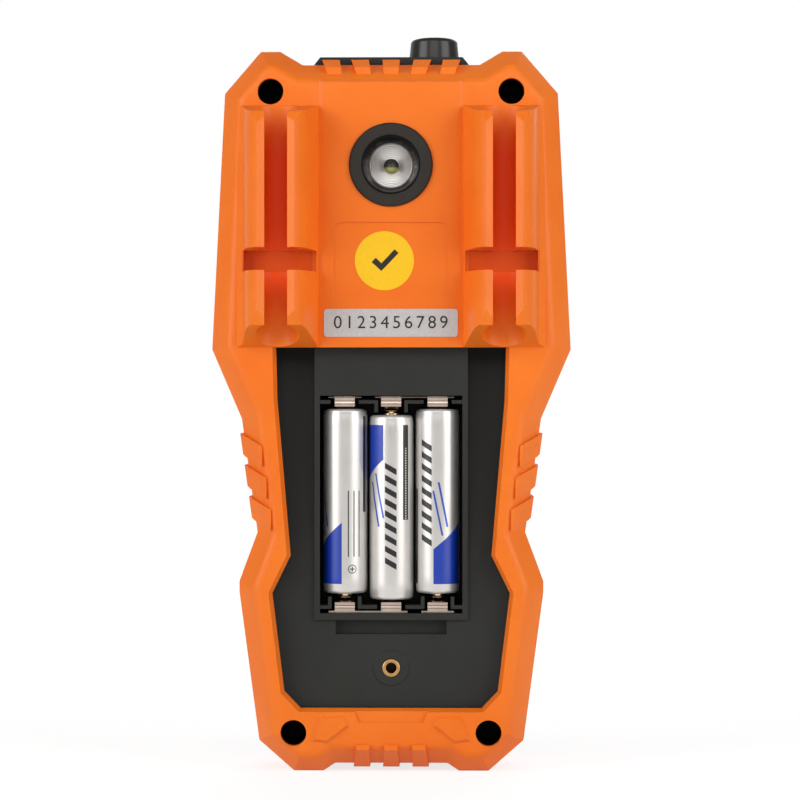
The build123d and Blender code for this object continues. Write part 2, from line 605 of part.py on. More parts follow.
def clip_ends():
    """A clip's side profile: each end leans in steeply up to a knee and then less steeply to the crest."""
    knee_y = CREST_Y + CLIP_KNEE_D
    return [
        (BACK_Y + CLIP_ROOT, WINDOW_Z),
        (BACK_Y + CLIP_ROOT, CLIP_TOP_Z),
        (BACK_Y, CLIP_TOP_Z),
        (knee_y, CLIP_TOP_Z - CLIP_TOP_KNEE),
        (CREST_Y, CLIP_TOP_Z - CLIP_TOP_SLOPE),
        (CREST_Y, WINDOW_Z + CLIP_FOOT_SLOPE),
        (knee_y, WINDOW_Z + CLIP_FOOT_KNEE),
        (BACK_Y, WINDOW_Z),
    ]


def make_probe_clip(side):
    """The clip on one side: -1 for left and 1 for right, seen from the back."""
    section = mirror(clip_section(), about=Plane.YZ)
    clip = Pos(CLIP_X, CHANNEL_Y, WINDOW_Z) * extrude(section, amount=CLIP_TOP_Z - WINDOW_Z, dir=(0, 0, 1))
    clip += clip_flare()
    clip &= side_profile(clip_ends(), 0, SHOULDER_W / 2)
    inner, outer = CLIP_X - CLIP_IN, CLIP_X + CLIP_OUT
    clip -= guard_gap(inner + GUARD_CHEEK_T, outer - GUARD_CHEEK_T, BACK_Y - CHANNEL_FLOOR)
    clip -= guard_gap(inner, outer, BACK_Y - GUARD_CHEEK_H)
    clip -= rear_body()
    return mirror(clip, about=Plane.YZ) if side < 0 else clip


# ============================================================================ torch
def make_torch_bezel():
    """The dark ring and funnel, with the stem that goes through the rear face."""
    face, seat, end = PANEL_Y - BEZEL_PROUD, PANEL_Y, PANEL_Y + BEZEL_STEM_L
    throat = REFLECTOR_R + SLIP
    return turned([
        (BEZEL_MOUTH_R, face),
        (BEZEL_R - FUNNEL_STEP, face),
        (BEZEL_R, face + FUNNEL_STEP),
        (BEZEL_R, seat),
        (BEZEL_STEM_R, seat),
        (BEZEL_STEM_R, end),
        (throat, end),
        (throat, face + FUNNEL_D),
        (BEZEL_MOUTH_R - FUNNEL_STEP, face + FUNNEL_STEP),
        (BEZEL_MOUTH_R, face + FUNNEL_STEP),
    ], 0, TORCH_Z)


def make_torch_reflector():
    """A shallow plated dish in narrow rings, with an eye for the emitter."""
    rim_y = PANEL_Y - BEZEL_PROUD + FUNNEL_D + SLIP
    width = (REFLECTOR_R - REFLECTOR_EYE_R) / (REFLECTOR_RINGS + 0.5)
    drop = REFLECTOR_D / REFLECTOR_RINGS
    points = [(REFLECTOR_R, rim_y)]
    for k in range(REFLECTOR_RINGS):
        r = REFLECTOR_R - (k + 0.5) * width
        y = rim_y + k * drop
        points += [(r, y), (r - width * 0.35, y + drop)]
    floor_y = rim_y + REFLECTOR_D
    points += [
        (REFLECTOR_EYE_R, floor_y),
        (REFLECTOR_EYE_R, floor_y + REFLECTOR_T),
        (REFLECTOR_R, floor_y + REFLECTOR_T),
    ]
    return turned(points, 0, TORCH_Z)


def make_torch_emitter():
    """The emitter's package with its dome."""
    foot_y = PANEL_Y + BEZEL_STEM_L
    seat_y = PANEL_Y - BEZEL_PROUD + FUNNEL_D + SLIP + REFLECTOR_D
    package = rod(0, TORCH_Z, EMITTER_BASE_R, seat_y - SLIP, foot_y)
    dome = Pos(0, seat_y - SLIP, TORCH_Z) * Sphere(EMITTER_R)
    return package + (dome & rod(0, TORCH_Z, EMITTER_R, seat_y - EMITTER_R - SLIP, seat_y))


def make_torch_board():
    y0 = PANEL_Y + BEZEL_STEM_L
    return rod(0, TORCH_Z, BEZEL_STEM_R, y0, y0 + TORCH_BOARD_T)


def make_torch_pins():
    """Two header pins from the torch's board to the circuit board."""
    y0 = PANEL_Y + BEZEL_STEM_L + TORCH_BOARD_T
    return [rod(side * PIN_PITCH / 2, TORCH_Z, PIN_R, y0, BOARD_Y) for side in (-1, 1)]


# ============================================================================ cells, tray and contacts
def cell_up(index):
    """True where a cell's positive end points up: every second cell is turned round."""
    return index % 2 == 1


def make_cell(index):
    """A size AAA cell: can, crimped edges and positive nub."""
    body = CELL_L - CELL_NUB_H
    edge = CELL_EDGE_R
    profile = [
        (0, 0),
        (CELL_R - 2 * edge, 0),
        (CELL_R - edge, edge / 2),
        (CELL_R, edge),
        (CELL_R, body - 2 * edge),
        (CELL_R - edge, body - edge / 2),
        (CELL_R - 2 * edge, body),
        (CELL_NUB_R, body),
        (CELL_NUB_R, CELL_L - edge / 2),
        (CELL_NUB_R - edge / 2, CELL_L),
        (0, CELL_L),
    ]
    cell = revolve(Plane.XZ * Polygon(*profile, align=None), Axis.Z)
    x = CELL_XS[index]
    if cell_up(index):
        return Pos(x, CELL_Y, BAY_FOOT_Z + NEG_REACH) * cell
    return Pos(x, CELL_Y, BAY_TOP_Z - NEG_REACH) * Rot(180, 0, 0) * cell


def tray_floor_line(drop):
    """The tray floor's side profile in Y and Z: level low down, then sloping away to a gully at the top."""
    knee_z = WINDOW_Z - GULLY_H
    return [
        (FLOOR_Y + drop, RIM_BOTTOM - 2 * TRAY_LAP),
        (FLOOR_Y + drop, knee_z),
        (FRAME_Y + GULLY_SINK + drop, WINDOW_Z + 2 * TRAY_LAP),
    ]


def under_line(drop, y_back):
    """The side profile between the line and a depth behind it."""
    line = tray_floor_line(drop)
    return [(y_back, line[0][1]), *line, (y_back, line[-1][1])]


def bay_end_details(z_wall, into, positive):
    """The bar that holds the contacts against one end wall, and the posts beside each positive contact."""
    bar_z = sorted((z_wall + into * BAR_BACK, z_wall + into * (BAR_BACK + BAR_T)))
    top_y = FRAME_Y + CELL_SINK
    bar = box(-BAY_HALF_W, BAY_HALF_W, top_y, BAY_FLOOR_Y, *bar_z)
    for x in CELL_XS:
        bar -= box(x - BAR_GAP_W / 2, x + BAR_GAP_W / 2, top_y, BAY_FLOOR_Y, *bar_z)
    details = [bar]
    post_z = sorted((z_wall + into * BAR_BACK, z_wall + into * (BAR_BACK + BAR_T + POST_REACH)))
    for index in positive:
        for side in (-1, 1):
            x = CELL_XS[index] + side * POST_SPAN / 2
            details.append(box(x - POST_T / 2, x + POST_T / 2, top_y, BAY_FLOOR_Y, *post_z))
    return details


def make_battery_tray():
    """The dark tray in the window: flange, gullies, raised frame, bay, cover catch and insert boss."""
    window = window_outline()
    lapped = inset(window, -TRAY_LAP)
    reach = (-SHOULDER_W / 2, SHOULDER_W / 2)
    tray = prism(lapped, INNER_BACK_Y, BOARD_Y) & side_profile(under_line(TRAY_T, INNER_BACK_Y), *reach)
    tray -= prism(window, INNER_BACK_Y, BOARD_Y) & side_profile(under_line(0, INNER_BACK_Y), *reach)

    frame_x = BAY_HALF_W + FRAME_T
    tray += box(-frame_x, frame_x, FRAME_Y, BAY_BACK_Y, BAY_FOOT_Z - FRAME_FOOT_T, WINDOW_Z)
    header_z = BAY_TOP_Z + FRAME_FOOT_T
    tray -= box(-BAY_HALF_W, BAY_HALF_W, FRAME_Y + TRAY_T, BAY_BACK_Y, header_z, WINDOW_Z - TRAY_T)
    tray -= box(-BAY_HALF_W, BAY_HALF_W, FRAME_Y, BAY_FLOOR_Y, BAY_FOOT_Z, BAY_TOP_Z)
    ups = [i for i in range(CELLS) if cell_up(i)]
    downs = [i for i in range(CELLS) if not cell_up(i)]
    tray += bay_end_details(BAY_TOP_Z, -1, ups)
    tray += bay_end_details(BAY_FOOT_Z, 1, downs)

    catch_top = BAY_FOOT_Z - FRAME_FOOT_T
    catch_z = catch_top - CATCH_H
    outer_x = CATCH_W / 2 + CATCH_WALL
    tray += box(-outer_x, outer_x, FLOOR_Y, FLOOR_Y + CATCH_D + CATCH_WALL, catch_z - CATCH_WALL, catch_top)
    tray -= box(-CATCH_W / 2, CATCH_W / 2, FRAME_Y, FLOOR_Y + CATCH_D, catch_z, catch_top)

    face = FLOOR_Y - INSERT_PAD_RISE
    tray += rod(0, INSERT_Z, INSERT_PAD_R, face, FLOOR_Y)
    tray += rod(0, INSERT_Z, INSERT_R + INSERT_WALL, FLOOR_Y, face + INSERT_L + TRAY_T)
    tray -= rod(0, INSERT_Z, INSERT_R + SLIP / 4, face, face + INSERT_L - INSERT_PROUD)
    for x, z_wall, into in contact_spots():
        tray -= contact_tail(x, z_wall, into, SLIP)
    return tray


def make_threaded_insert():
    """The brass insert that the cover's screw goes into."""
    y0 = FLOOR_Y - INSERT_PAD_RISE - INSERT_PROUD
    bevel = INSERT_PROUD
    return turned([
        (INSERT_BORE_R, y0),
        (INSERT_R - bevel, y0),
        (INSERT_R, y0 + bevel),
        (INSERT_R, y0 + INSERT_L),
        (INSERT_BORE_R, y0 + INSERT_L),
    ], 0, INSERT_Z)


def contact_spots():
    """(x, end wall, direction into the bay) of each contact's solder tail."""
    return [
        (CELL_XS[0], BAY_TOP_Z, -1),
        (CELL_XS[-1], BAY_FOOT_Z, 1),
    ]


def contact_tail(x, z_wall, into, clearance):
    """The tail that goes through the bay's floor to the circuit board."""
    z = sorted((z_wall + into * (SLIP - clearance), z_wall + into * (SLIP + CONTACT_T + clearance)))
    half = CONTACT_T * 2 + clearance
    return box(x - half, x + half, BAY_FLOOR_Y - SLIP, BOARD_Y, *z)


def leaf_line(z_wall, into, reach):
    """The middle line, in Y and Z, of the leaf that is folded over the plate and bulges to the cell."""
    half = CONTACT_T / 2
    top_y = FRAME_Y + PLATE_SINK + half
    touch = z_wall + into * (reach - half - SLIP / 2)
    return [
        (top_y, z_wall + into * (SLIP + half)),
        (top_y, z_wall + into * LEAF_FOLD),
        (top_y + 1.6, z_wall + into * (LEAF_FOLD - 0.3)),
        (CELL_Y - 0.9, touch),
        (CELL_Y + 0.9, touch),
        (BAY_FLOOR_Y - 1.2, z_wall + into * (SLIP + CONTACT_T * 2)),
    ]


def make_contact(indices, z_wall, into):
    """The strip of sheet metal at one end wall, with a leaf for each cell that it serves."""
    z = sorted((z_wall + into * SLIP, z_wall + into * (SLIP + CONTACT_T)))
    xs = [CELL_XS[i] for i in indices]
    top_y = FRAME_Y + PLATE_SINK
    strip = box(min(xs) - PLATE_W / 2, max(xs) + PLATE_W / 2, top_y + CONTACT_T, BAY_FLOOR_Y, *z)
    for index, x in zip(indices, xs):
        positive_here = cell_up(index) == (into < 0)
        line = leaf_line(z_wall, into, POS_REACH if positive_here else NEG_REACH)
        strip += side_profile(ribbon(line[:3], CONTACT_T), x - LEAF_W / 2, x + LEAF_W / 2)
        strip += side_profile(ribbon(line[1:], CONTACT_T), x - TIP_W / 2, x + TIP_W / 2)
        strip += box(x - LEAF_W / 2, x + LEAF_W / 2, top_y, top_y + CONTACT_T, *z)
    if len(indices) == 1:
        strip += contact_tail(xs[0], z_wall, into, 0)
    return strip


# ============================================================================ head cap and sensor
def upright(radius, z0, z1):
    """A round bar on the sensor tip's axis."""
    bar = Cylinder(radius, z1 - z0, align=(Align.CENTER, Align.CENTER, Align.MIN))
    return Pos(TIP_X, TIP_Y, z0) * bar


def make_head_cap():
    """The dark cap in the crown, hollow, which carries the sensor tip."""
    half, top = CAP_W / 2, CAP_TOP_W / 2
    shape = [
        (-half, CAP_FOOT_Z),
        (half, CAP_FOOT_Z),
        (half, CAP_TOP_Z - CAP_CHAMFER_H),
        (top, CAP_TOP_Z),
        (-top, CAP_TOP_Z),
        (-half, CAP_TOP_Z - CAP_CHAMFER_H),
    ]
    cap = prism(shape, CAP_BACK_Y, CAP_FRONT_Y)
    cap -= prism(inset(shape, CAP_WALL), CAP_BACK_Y + CAP_WALL, CAP_FRONT_Y - CAP_WALL)
    return cap - upright(TIP_NECK_R + SLIP, CAP_TOP_Z - CAP_WALL, CAP_TOP_Z)


def make_sensor_tip():
    """The rounded tip of the tracing sensor, on a neck in the cap's top, bored for the core."""
    low = CAP_TOP_Z - CAP_WALL
    neck = upright(TIP_NECK_R, low, CAP_TOP_Z)
    cone = Pos(TIP_X, TIP_Y, CAP_TOP_Z) * Cone(
        TIP_BASE_R, TIP_TOP_R, TIP_H, align=(Align.CENTER, Align.CENTER, Align.MIN)
    )
    cone = fillet(cone.edges().sort_by(Axis.Z)[-1], TIP_ROUND)
    return neck + cone - upright(TIP_BORE_R, low, low + TIP_H)


def make_antenna_core():
    """The ferrite rod, from the cap's floor up into the tip."""
    return upright(CORE_R, CAP_FOOT_Z + CAP_WALL, CAP_TOP_Z - CAP_WALL + TIP_H - SLIP)


def make_antenna_coil():
    """The winding on the rod."""
    low, high = CAP_FOOT_Z + CAP_WALL, CAP_TOP_Z - CAP_WALL - SLIP
    return upright(COIL_R, low, high) - upright(CORE_R + SLIP / 2, low, high)


# ====================================================================== front: face plate and what it carries
def key_sketch(grow=0.0):
    return RectangleRounded(KEY_W + 2 * grow, KEY_H + 2 * grow, KEY_R + grow)


def round_key_sketch(grow=0.0):
    return Circle(ROUND_KEY_R + grow)


def key_spots():
    """(name, x, z, sketch of the cap grown by a distance) of each push button."""
    row_z, side_z = TOP_Z - KEY_BELOW_TOP, TOP_Z - ROUND_KEY_BELOW_TOP
    spots = [(f"key_{k + 1}", x, row_z, key_sketch) for k, x in enumerate(KEY_XS)]
    for k, side in enumerate((-1, 1)):
        spots.append((f"round_key_{k + 1}", side * ROUND_KEY_SPAN / 2, side_z, round_key_sketch))
    return spots


def make_face_plate():
    """The dark plate inside the rim: display opening, key holes, knob hole, jack holes, bosses and posts."""
    core = core_outline()
    plate = prism(inset(core, WALL + SLIP), FACE_IN_Y, FACE_Y)
    display = Pos(0, DISPLAY_Z)
    rebate = display * RectangleRounded(LENS_W + 2 * SLIP, LENS_H + 2 * SLIP, LENS_R)
    plate -= slab(rebate, FACE_Y - LENS_T, FACE_Y)
    opening = display * RectangleRounded(LENS_W - 2 * LENS_LAP, LENS_H - 2 * LENS_LAP, LENS_R)
    plate -= slab(opening, FACE_IN_Y, FACE_Y)
    for _, x, z, sketch in key_spots():
        plate -= slab(Pos(x, z) * sketch(KEY_SLIP), FACE_IN_Y, FACE_Y)
    plate -= rod(0, KNOB_Z, KNOB_HUB_R + RUN, FACE_IN_Y, FACE_Y)
    for x in JACK_XS:
        plate -= rod(x, JACK_Z, BUSH_R + SLIP, FACE_IN_Y, FACE_Y)
    for x, z in SCREW_SPOTS:
        plate += rod(x, z, BOSS_R, WELL_END_Y + SLIP, FACE_IN_Y)
        plate -= rod(x, z, SCREW_R + SLIP / 2, WELL_END_Y + SLIP, SEAT_Y + SCREW_L + SLIP)
    for x, z in BOARD_POSTS:
        plate += rod(x, z, POST_R, BOARD_FRONT_Y, FACE_IN_Y)
        plate -= rod(x, z, POST_SCREW_R + SLIP / 2, BOARD_FRONT_Y, BOARD_FRONT_Y + POST_SCREW_L)
    ball_y = BOARD_FRONT_Y + CARRIER_OVER_BOARD + CARRIER_T
    ring_y = ball_y + BALL_R + SLIP / 2
    plate += rod(0, KNOB_Z, DETENT_OUT_R, ring_y, FACE_IN_Y) - rod(0, KNOB_Z, DETENT_IN_R, ring_y, FACE_IN_Y)
    width = DETENT_OUT_R - DETENT_IN_R + 2 * SLIP
    middle = (DETENT_OUT_R + DETENT_IN_R) / 2
    notch = Pos(middle, ring_y, 0) * Rot(45, 0, 0) * Box(width, DETENT_NOTCH, DETENT_NOTCH)
    return plate - [Pos(0, 0, KNOB_Z) * Rot(0, 360 * k / DETENTS, 0) * notch for k in range(DETENTS)]


def make_display_lens():
    sketch = Pos(0, DISPLAY_Z) * RectangleRounded(LENS_W, LENS_H, LENS_R - SLIP)
    return slab(sketch, FACE_Y - LENS_T, FACE_Y)


def glass_box(trim, y0, y1, trim_z=0.0):
    """A block behind the display opening, smaller than the lens by trim all round."""
    half_w, half_h = LENS_W / 2 - trim, LENS_H / 2 - trim - trim_z
    return box(-half_w, half_w, y0, y1, DISPLAY_Z - half_h, DISPLAY_Z + half_h)


def make_display_glass():
    return glass_box(FRAME_WALL, FACE_IN_Y - SLIP - GLASS_T, FACE_IN_Y - SLIP)


def make_backlight():
    y1 = FACE_IN_Y - SLIP - GLASS_T
    return glass_box(FRAME_WALL, BOARD_FRONT_Y + SLIP, y1 - SLIP, trim_z=ZEBRA_W + SLIP)


def make_display_frame():
    """The frame that holds the glass on the board."""
    outer = glass_box(0, BOARD_FRONT_Y, FACE_IN_Y - SLIP)
    return outer - glass_box(FRAME_WALL - SLIP, BOARD_FRONT_Y, FACE_IN_Y - SLIP)


def make_zebra_strips():
    """The two rubber strips that join the glass to the board."""
    y0, y1 = BOARD_FRONT_Y, FACE_IN_Y - SLIP - GLASS_T
    half_w, outer = LENS_W / 2 - FRAME_WALL - 1, LENS_H / 2 - FRAME_WALL
    strips = []
    for side in (-1, 1):
        z = sorted((DISPLAY_Z + side * outer, DISPLAY_Z + side * (outer - ZEBRA_W)))
        strips.append(box(-half_w, half_w, y0, y1, *z))
    return strips


def make_key(x, z, sketch):
    """A push button: cap, lip behind the plate and post down into its switch."""
    cap = slab(Pos(x, z) * sketch(), FACE_IN_Y - SLIP, FACE_Y + KEY_PROUD)
    top = [e for e in cap.edges() if abs(e.center().Y - FACE_Y - KEY_PROUD) < SLIP]
    cap = chamfer(top, KEY_PROUD / 3)
    lip_y = FACE_IN_Y - SLIP - KEY_LIP_T
    lip = slab(Pos(x, z) * sketch(KEY_LIP), lip_y, FACE_IN_Y - SLIP)
    post = rod(x, z, KEY_POST_R, switch_top() - KEY_TRAVEL / 2, lip_y)
    return cap + lip + post


def switch_top():
    return BOARD_FRONT_Y + SWITCH_H


def make_key_switches():
    """The switches under the keys, each with a well for the key's post."""
    switches = []
    half = SWITCH_W / 2
    for _, x, z, _ in key_spots():
        body = box(x - half, x + half, BOARD_FRONT_Y, switch_top(), z - half, z + half)
        well = rod(x, z, KEY_POST_R + KEY_SLIP, switch_top() - 2 * KEY_TRAVEL, switch_top())
        switches.append(body - well)
    return switches


def make_range_knob():
    """The knob: scalloped disc, finger bar, and hub through the face plate."""
    low = FACE_Y + KNOB_GAP
    top = RIM_Y + KNOB_PROUD
    disc = rod(0, KNOB_Z, KNOB_R, low, low + KNOB_DISC_T)
    rim = [e for e in disc.edges() if abs(e.center().Y - low - KNOB_DISC_T) < SLIP]
    disc = chamfer(rim, KNOB_DISC_T / 4)
    for k in range(KNOB_SCALLOPS):
        angle = 2 * math.pi * (k + 0.5) / KNOB_SCALLOPS
        x, z = KNOB_R * math.sin(angle), KNOB_Z + KNOB_R * math.cos(angle)
        disc -= rod(x, z, KNOB_SCALLOP_R, low, low + KNOB_DISC_T)
    length = 2 * (KNOB_R - 2 * KNOB_SCALLOP_R)
    bar = slab(Pos(0, KNOB_Z) * SlotOverall(length, KNOB_BAR_W, rotation=90), low, top)
    crest = [e for e in bar.edges() if abs(e.center().Y - top) < SLIP]
    bar = chamfer(crest, KNOB_BAR_W / 6)
    hub_y = BOARD_FRONT_Y + CARRIER_OVER_BOARD + CARRIER_T
    hub = rod(0, KNOB_Z, KNOB_HUB_R, hub_y, low)
    knob = disc + bar + hub
    return knob - pointer_slot(0)


def pointer_slot(clearance):
    """The slot in the bar's top that holds the pointer."""
    top = RIM_Y + KNOB_PROUD
    end = KNOB_Z + KNOB_R - 2 * KNOB_SCALLOP_R - KNOB_BAR_W / 6
    half = MARK_W / 2 - clearance
    return box(-half, half, top - MARK_D, top, end - MARK_L + clearance, end - clearance)


def make_knob_pointer():
    return pointer_slot(SLIP / 4)


def make_contact_carrier():
    """The disc on the hub that turns the wipers and carries the detent balls."""
    y0 = BOARD_FRONT_Y + CARRIER_OVER_BOARD
    disc = rod(0, KNOB_Z, CARRIER_R, y0, y0 + CARRIER_T)
    for x, z in ball_spots():
        disc -= Pos(x, y0 + CARRIER_T, z) * Sphere(BALL_R + SLIP / 2)
    return disc


def ball_spots():
    return [(side * BALL_CIRCLE_R, KNOB_Z) for side in (-1, 1)]


def make_detent_balls():
    y = BOARD_FRONT_Y + CARRIER_OVER_BOARD + CARRIER_T
    return [Pos(x, y, z) * Sphere(BALL_R) for x, z in ball_spots()]


def make_wipers():
    """The brass springs under the carrier that sweep the board's tracks."""
    y0, y1 = BOARD_FRONT_Y + SLIP, BOARD_FRONT_Y + CARRIER_OVER_BOARD
    wipers = []
    for k in range(WIPERS):
        bridge = box(-WIPER_R / 2, WIPER_R / 2, y1 - CONTACT_T, y1, -WIPER_W / 2, WIPER_W / 2)
        for side in (-1, 1):
            x = side * (WIPER_R - CONTACT_T) / 2
            bridge += box(x - CONTACT_T / 2, x + CONTACT_T / 2, y0, y1 - CONTACT_T, -WIPER_W / 2, WIPER_W / 2)
        placed = Pos(0, 0, KNOB_Z) * Rot(0, 360 * k / WIPERS, 0) * Pos(WIPER_R * 0.75, 0, 0) * bridge
        wipers.append(placed)
    return wipers


def make_jack(x):
    """A 4 mm socket, closed at its inner end."""
    mouth = FACE_IN_Y - JACK_SINK / 4
    socket = rod(x, JACK_Z, JACK_R, mouth - JACK_L, mouth)
    return socket - rod(x, JACK_Z, JACK_BORE_R, mouth - JACK_L + JACK_WALL_END, mouth)


def make_jack_bush(x):
    """The insulating bush round a socket, with its flange on the face plate."""
    foot = BOARD_FRONT_Y + SLIP
    bush = rod(x, JACK_Z, BUSH_R, foot, FACE_Y)
    bush += rod(x, JACK_Z, BUSH_FLANGE_R, FACE_Y, FACE_Y + BUSH_FLANGE_T)
    bush -= rod(x, JACK_Z, BUSH_BORE_R, foot + WALL, FACE_Y + BUSH_FLANGE_T)
    return bush - rod(x, JACK_Z, JACK_R + SLIP / 2, foot, foot + WALL)


# ============================================================================ board and what stands on it
def make_circuit_board():
    """The board, between the tray and the face plate, cleared for the bosses and the sockets."""
    top = CAP_FOOT_Z - BOARD_TOP_GAP
    board = prism(inset(core_outline(), WALL + BOARD_IN), BOARD_Y, BOARD_FRONT_Y)
    board -= box(-SHOULDER_W / 2, SHOULDER_W / 2, BOARD_Y, BOARD_FRONT_Y, top, TOP_Z)
    for x, z in SCREW_SPOTS:
        board -= rod(x, z, SLEEVE_R + BOARD_IN / 2, BOARD_Y, BOARD_FRONT_Y)
        side, end = math.copysign(HIP_W, x), TOP_Z if z > KNOB_Z else 0
        board -= box(min(x, side), max(x, side), BOARD_Y, BOARD_FRONT_Y, min(z, end), max(z, end))
    for x in JACK_XS:
        board -= rod(x, JACK_Z, JACK_R + SLIP, BOARD_Y, BOARD_FRONT_Y)
    for x, z in BOARD_POSTS:
        board -= rod(x, z, POST_SCREW_R + SLIP, BOARD_Y, BOARD_FRONT_Y)
    return board


def make_board_screws():
    screws = []
    for x, z in BOARD_POSTS:
        head = rod(x, z, 2 * POST_SCREW_R, BOARD_Y - POST_SCREW_R, BOARD_Y)
        shank = rod(x, z, POST_SCREW_R, BOARD_Y, BOARD_FRONT_Y + POST_SCREW_L - SLIP)
        screws.append(head + shank)
    return screws


def make_case_screws():
    """Four pan-head screws from the wells in the back into the face plate's bosses."""
    screws = []
    for x, z in SCREW_SPOTS:
        head = rod(x, z, SCREW_HEAD_R, SEAT_Y - SCREW_HEAD_H, SEAT_Y)
        rim = [e for e in head.edges() if abs(e.center().Y - SEAT_Y + SCREW_HEAD_H) < SLIP]
        head = chamfer(rim, SCREW_HEAD_H / 4)
        arm = SCREW_HEAD_R * 0.6
        half = SCREW_HEAD_R * 0.14
        for dx, dz in ((arm, half), (half, arm)):
            head -= box(x - dx, x + dx, SEAT_Y - SCREW_HEAD_H, SEAT_Y - SCREW_HEAD_H / 2, z - dz, z + dz)
        screws.append(head + rod(x, z, SCREW_R, SEAT_Y, SEAT_Y + SCREW_L))
    return screws


def make_measuring_chip():
    """The measuring circuit's package, between the display and the knob, on the board's back."""
    half, z = CHIP_W / 2, SHOULDER_Z + CHIP_W
    return box(-half, half, BOARD_Y - CHIP_T, BOARD_Y, z - half, z + half)


def make_fuse():
    """The large fuse across the board, behind the tray's floor."""
    z, y = FUSE_Z, BOARD_Y - FUSE_R - CONTACT_T
    return Pos(0, y, z) * Rot(0, 90, 0) * Cylinder(FUSE_R, FUSE_L)


def make_fuse_clips():
    """The two clips that hold the large fuse: each a plate under its end cap with two cheeks."""
    clips = []
    y = BOARD_Y - FUSE_R - CONTACT_T
    for side in (-1, 1):
        x = sorted((side * FUSE_L / 2, side * (FUSE_L / 2 - FUSE_CAP_L)))
        z0, z1 = FUSE_Z - FUSE_R - 2 * CONTACT_T, FUSE_Z + FUSE_R + 2 * CONTACT_T
        clip = box(*x, y, BOARD_Y, z0, z1)
        clip -= box(*x, y, BOARD_Y - CONTACT_T + SLIP / 2, z0 + CONTACT_T, z1 - CONTACT_T)
        clips.append(clip)
    return clips


def make_small_fuse():
    """The small fuse, upright beside the bay."""
    x = BAY_HALF_W + FRAME_T + 1.5 * SMALL_FUSE_R
    y = BOARD_Y - SMALL_FUSE_R
    z = WAIST_Z + CELL_L / 4
    return Pos(-x, y, z) * Cylinder(SMALL_FUSE_R, SMALL_FUSE_L)


def make_buzzer():
    x = BAY_HALF_W + FRAME_T + BUZZER_R + SLIP
    return rod(-x, BAY_TOP_Z + 2 * BUZZER_R, BUZZER_R, BOARD_Y - BUZZER_T, BOARD_Y)


# ============================================================================ everything, by node
def all_nodes():
    nodes = {
        "rear_shell": make_rear_shell(),
        "screw_sleeves": make_screw_sleeves(),
        "front_shell": make_front_shell(),
        "probe_clip_left": make_probe_clip(-1),
        "probe_clip_right": make_probe_clip(1),
        "battery_tray": make_battery_tray(),
        "threaded_insert": make_threaded_insert(),
        "contact_top_single": make_contact([0], BAY_TOP_Z, -1),
        "contact_top_pair": make_contact([1, 2], BAY_TOP_Z, -1),
        "contact_foot_pair": make_contact([0, 1], BAY_FOOT_Z, 1),
        "contact_foot_single": make_contact([2], BAY_FOOT_Z, 1),
        "torch_bezel": make_torch_bezel(),
        "torch_reflector": make_torch_reflector(),
        "torch_emitter": make_torch_emitter(),
        "torch_board": make_torch_board(),
        "torch_pins": make_torch_pins(),
        "head_cap": make_head_cap(),
        "sensor_tip": make_sensor_tip(),
        "antenna_core": make_antenna_core(),
        "antenna_coil": make_antenna_coil(),
        "face_plate": make_face_plate(),
        "display_lens": make_display_lens(),
        "display_glass": make_display_glass(),
        "display_frame": make_display_frame(),
        "backlight": make_backlight(),
        "zebra_strips": make_zebra_strips(),
        "key_switches": make_key_switches(),
        "range_knob": make_range_knob(),
        "knob_pointer": make_knob_pointer(),
        "contact_carrier": make_contact_carrier(),
        "detent_balls": make_detent_balls(),
        "wipers": make_wipers(),
        "circuit_board": make_circuit_board(),
        "board_screws": make_board_screws(),
        "case_screws": make_case_screws(),
        "measuring_chip": make_measuring_chip(),
        "fuse": make_fuse(),
        "fuse_clips": make_fuse_clips(),
        "small_fuse": make_small_fuse(),
        "buzzer": make_buzzer(),
    }
    for index, place in enumerate(("left", "middle", "right")):
        nodes[f"cell_{place}"] = make_cell(index)
    for name, x, z, sketch in key_spots():
        nodes[name] = make_key(x, z, sketch)
    for k, x in enumerate(JACK_XS):
        nodes[f"jack_{k + 1}"] = make_jack(x)
        nodes[f"jack_bush_{k + 1}"] = make_jack_bush(x)
    return nodes


os.makedirs("parts", exist_ok=True)
for node, shape in all_nodes().items():
    solids = shape if isinstance(shape, list) else shape.solids()
    solids = [solid for piece in solids for solid in piece.solids()]
    export_step(Compound(children=solids) if len(solids) > 1 else solids[0], f"parts/{node}.step")
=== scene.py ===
"""Looks of the handheld multimeter: finishes, printed marks, cells, sticker and label, camera and light.

Lengths are in metres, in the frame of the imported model: Z up, the back with the probe clips facing -Y.
"""

import json
import math

import bmesh
import bpy
from mathutils import Matrix, Vector


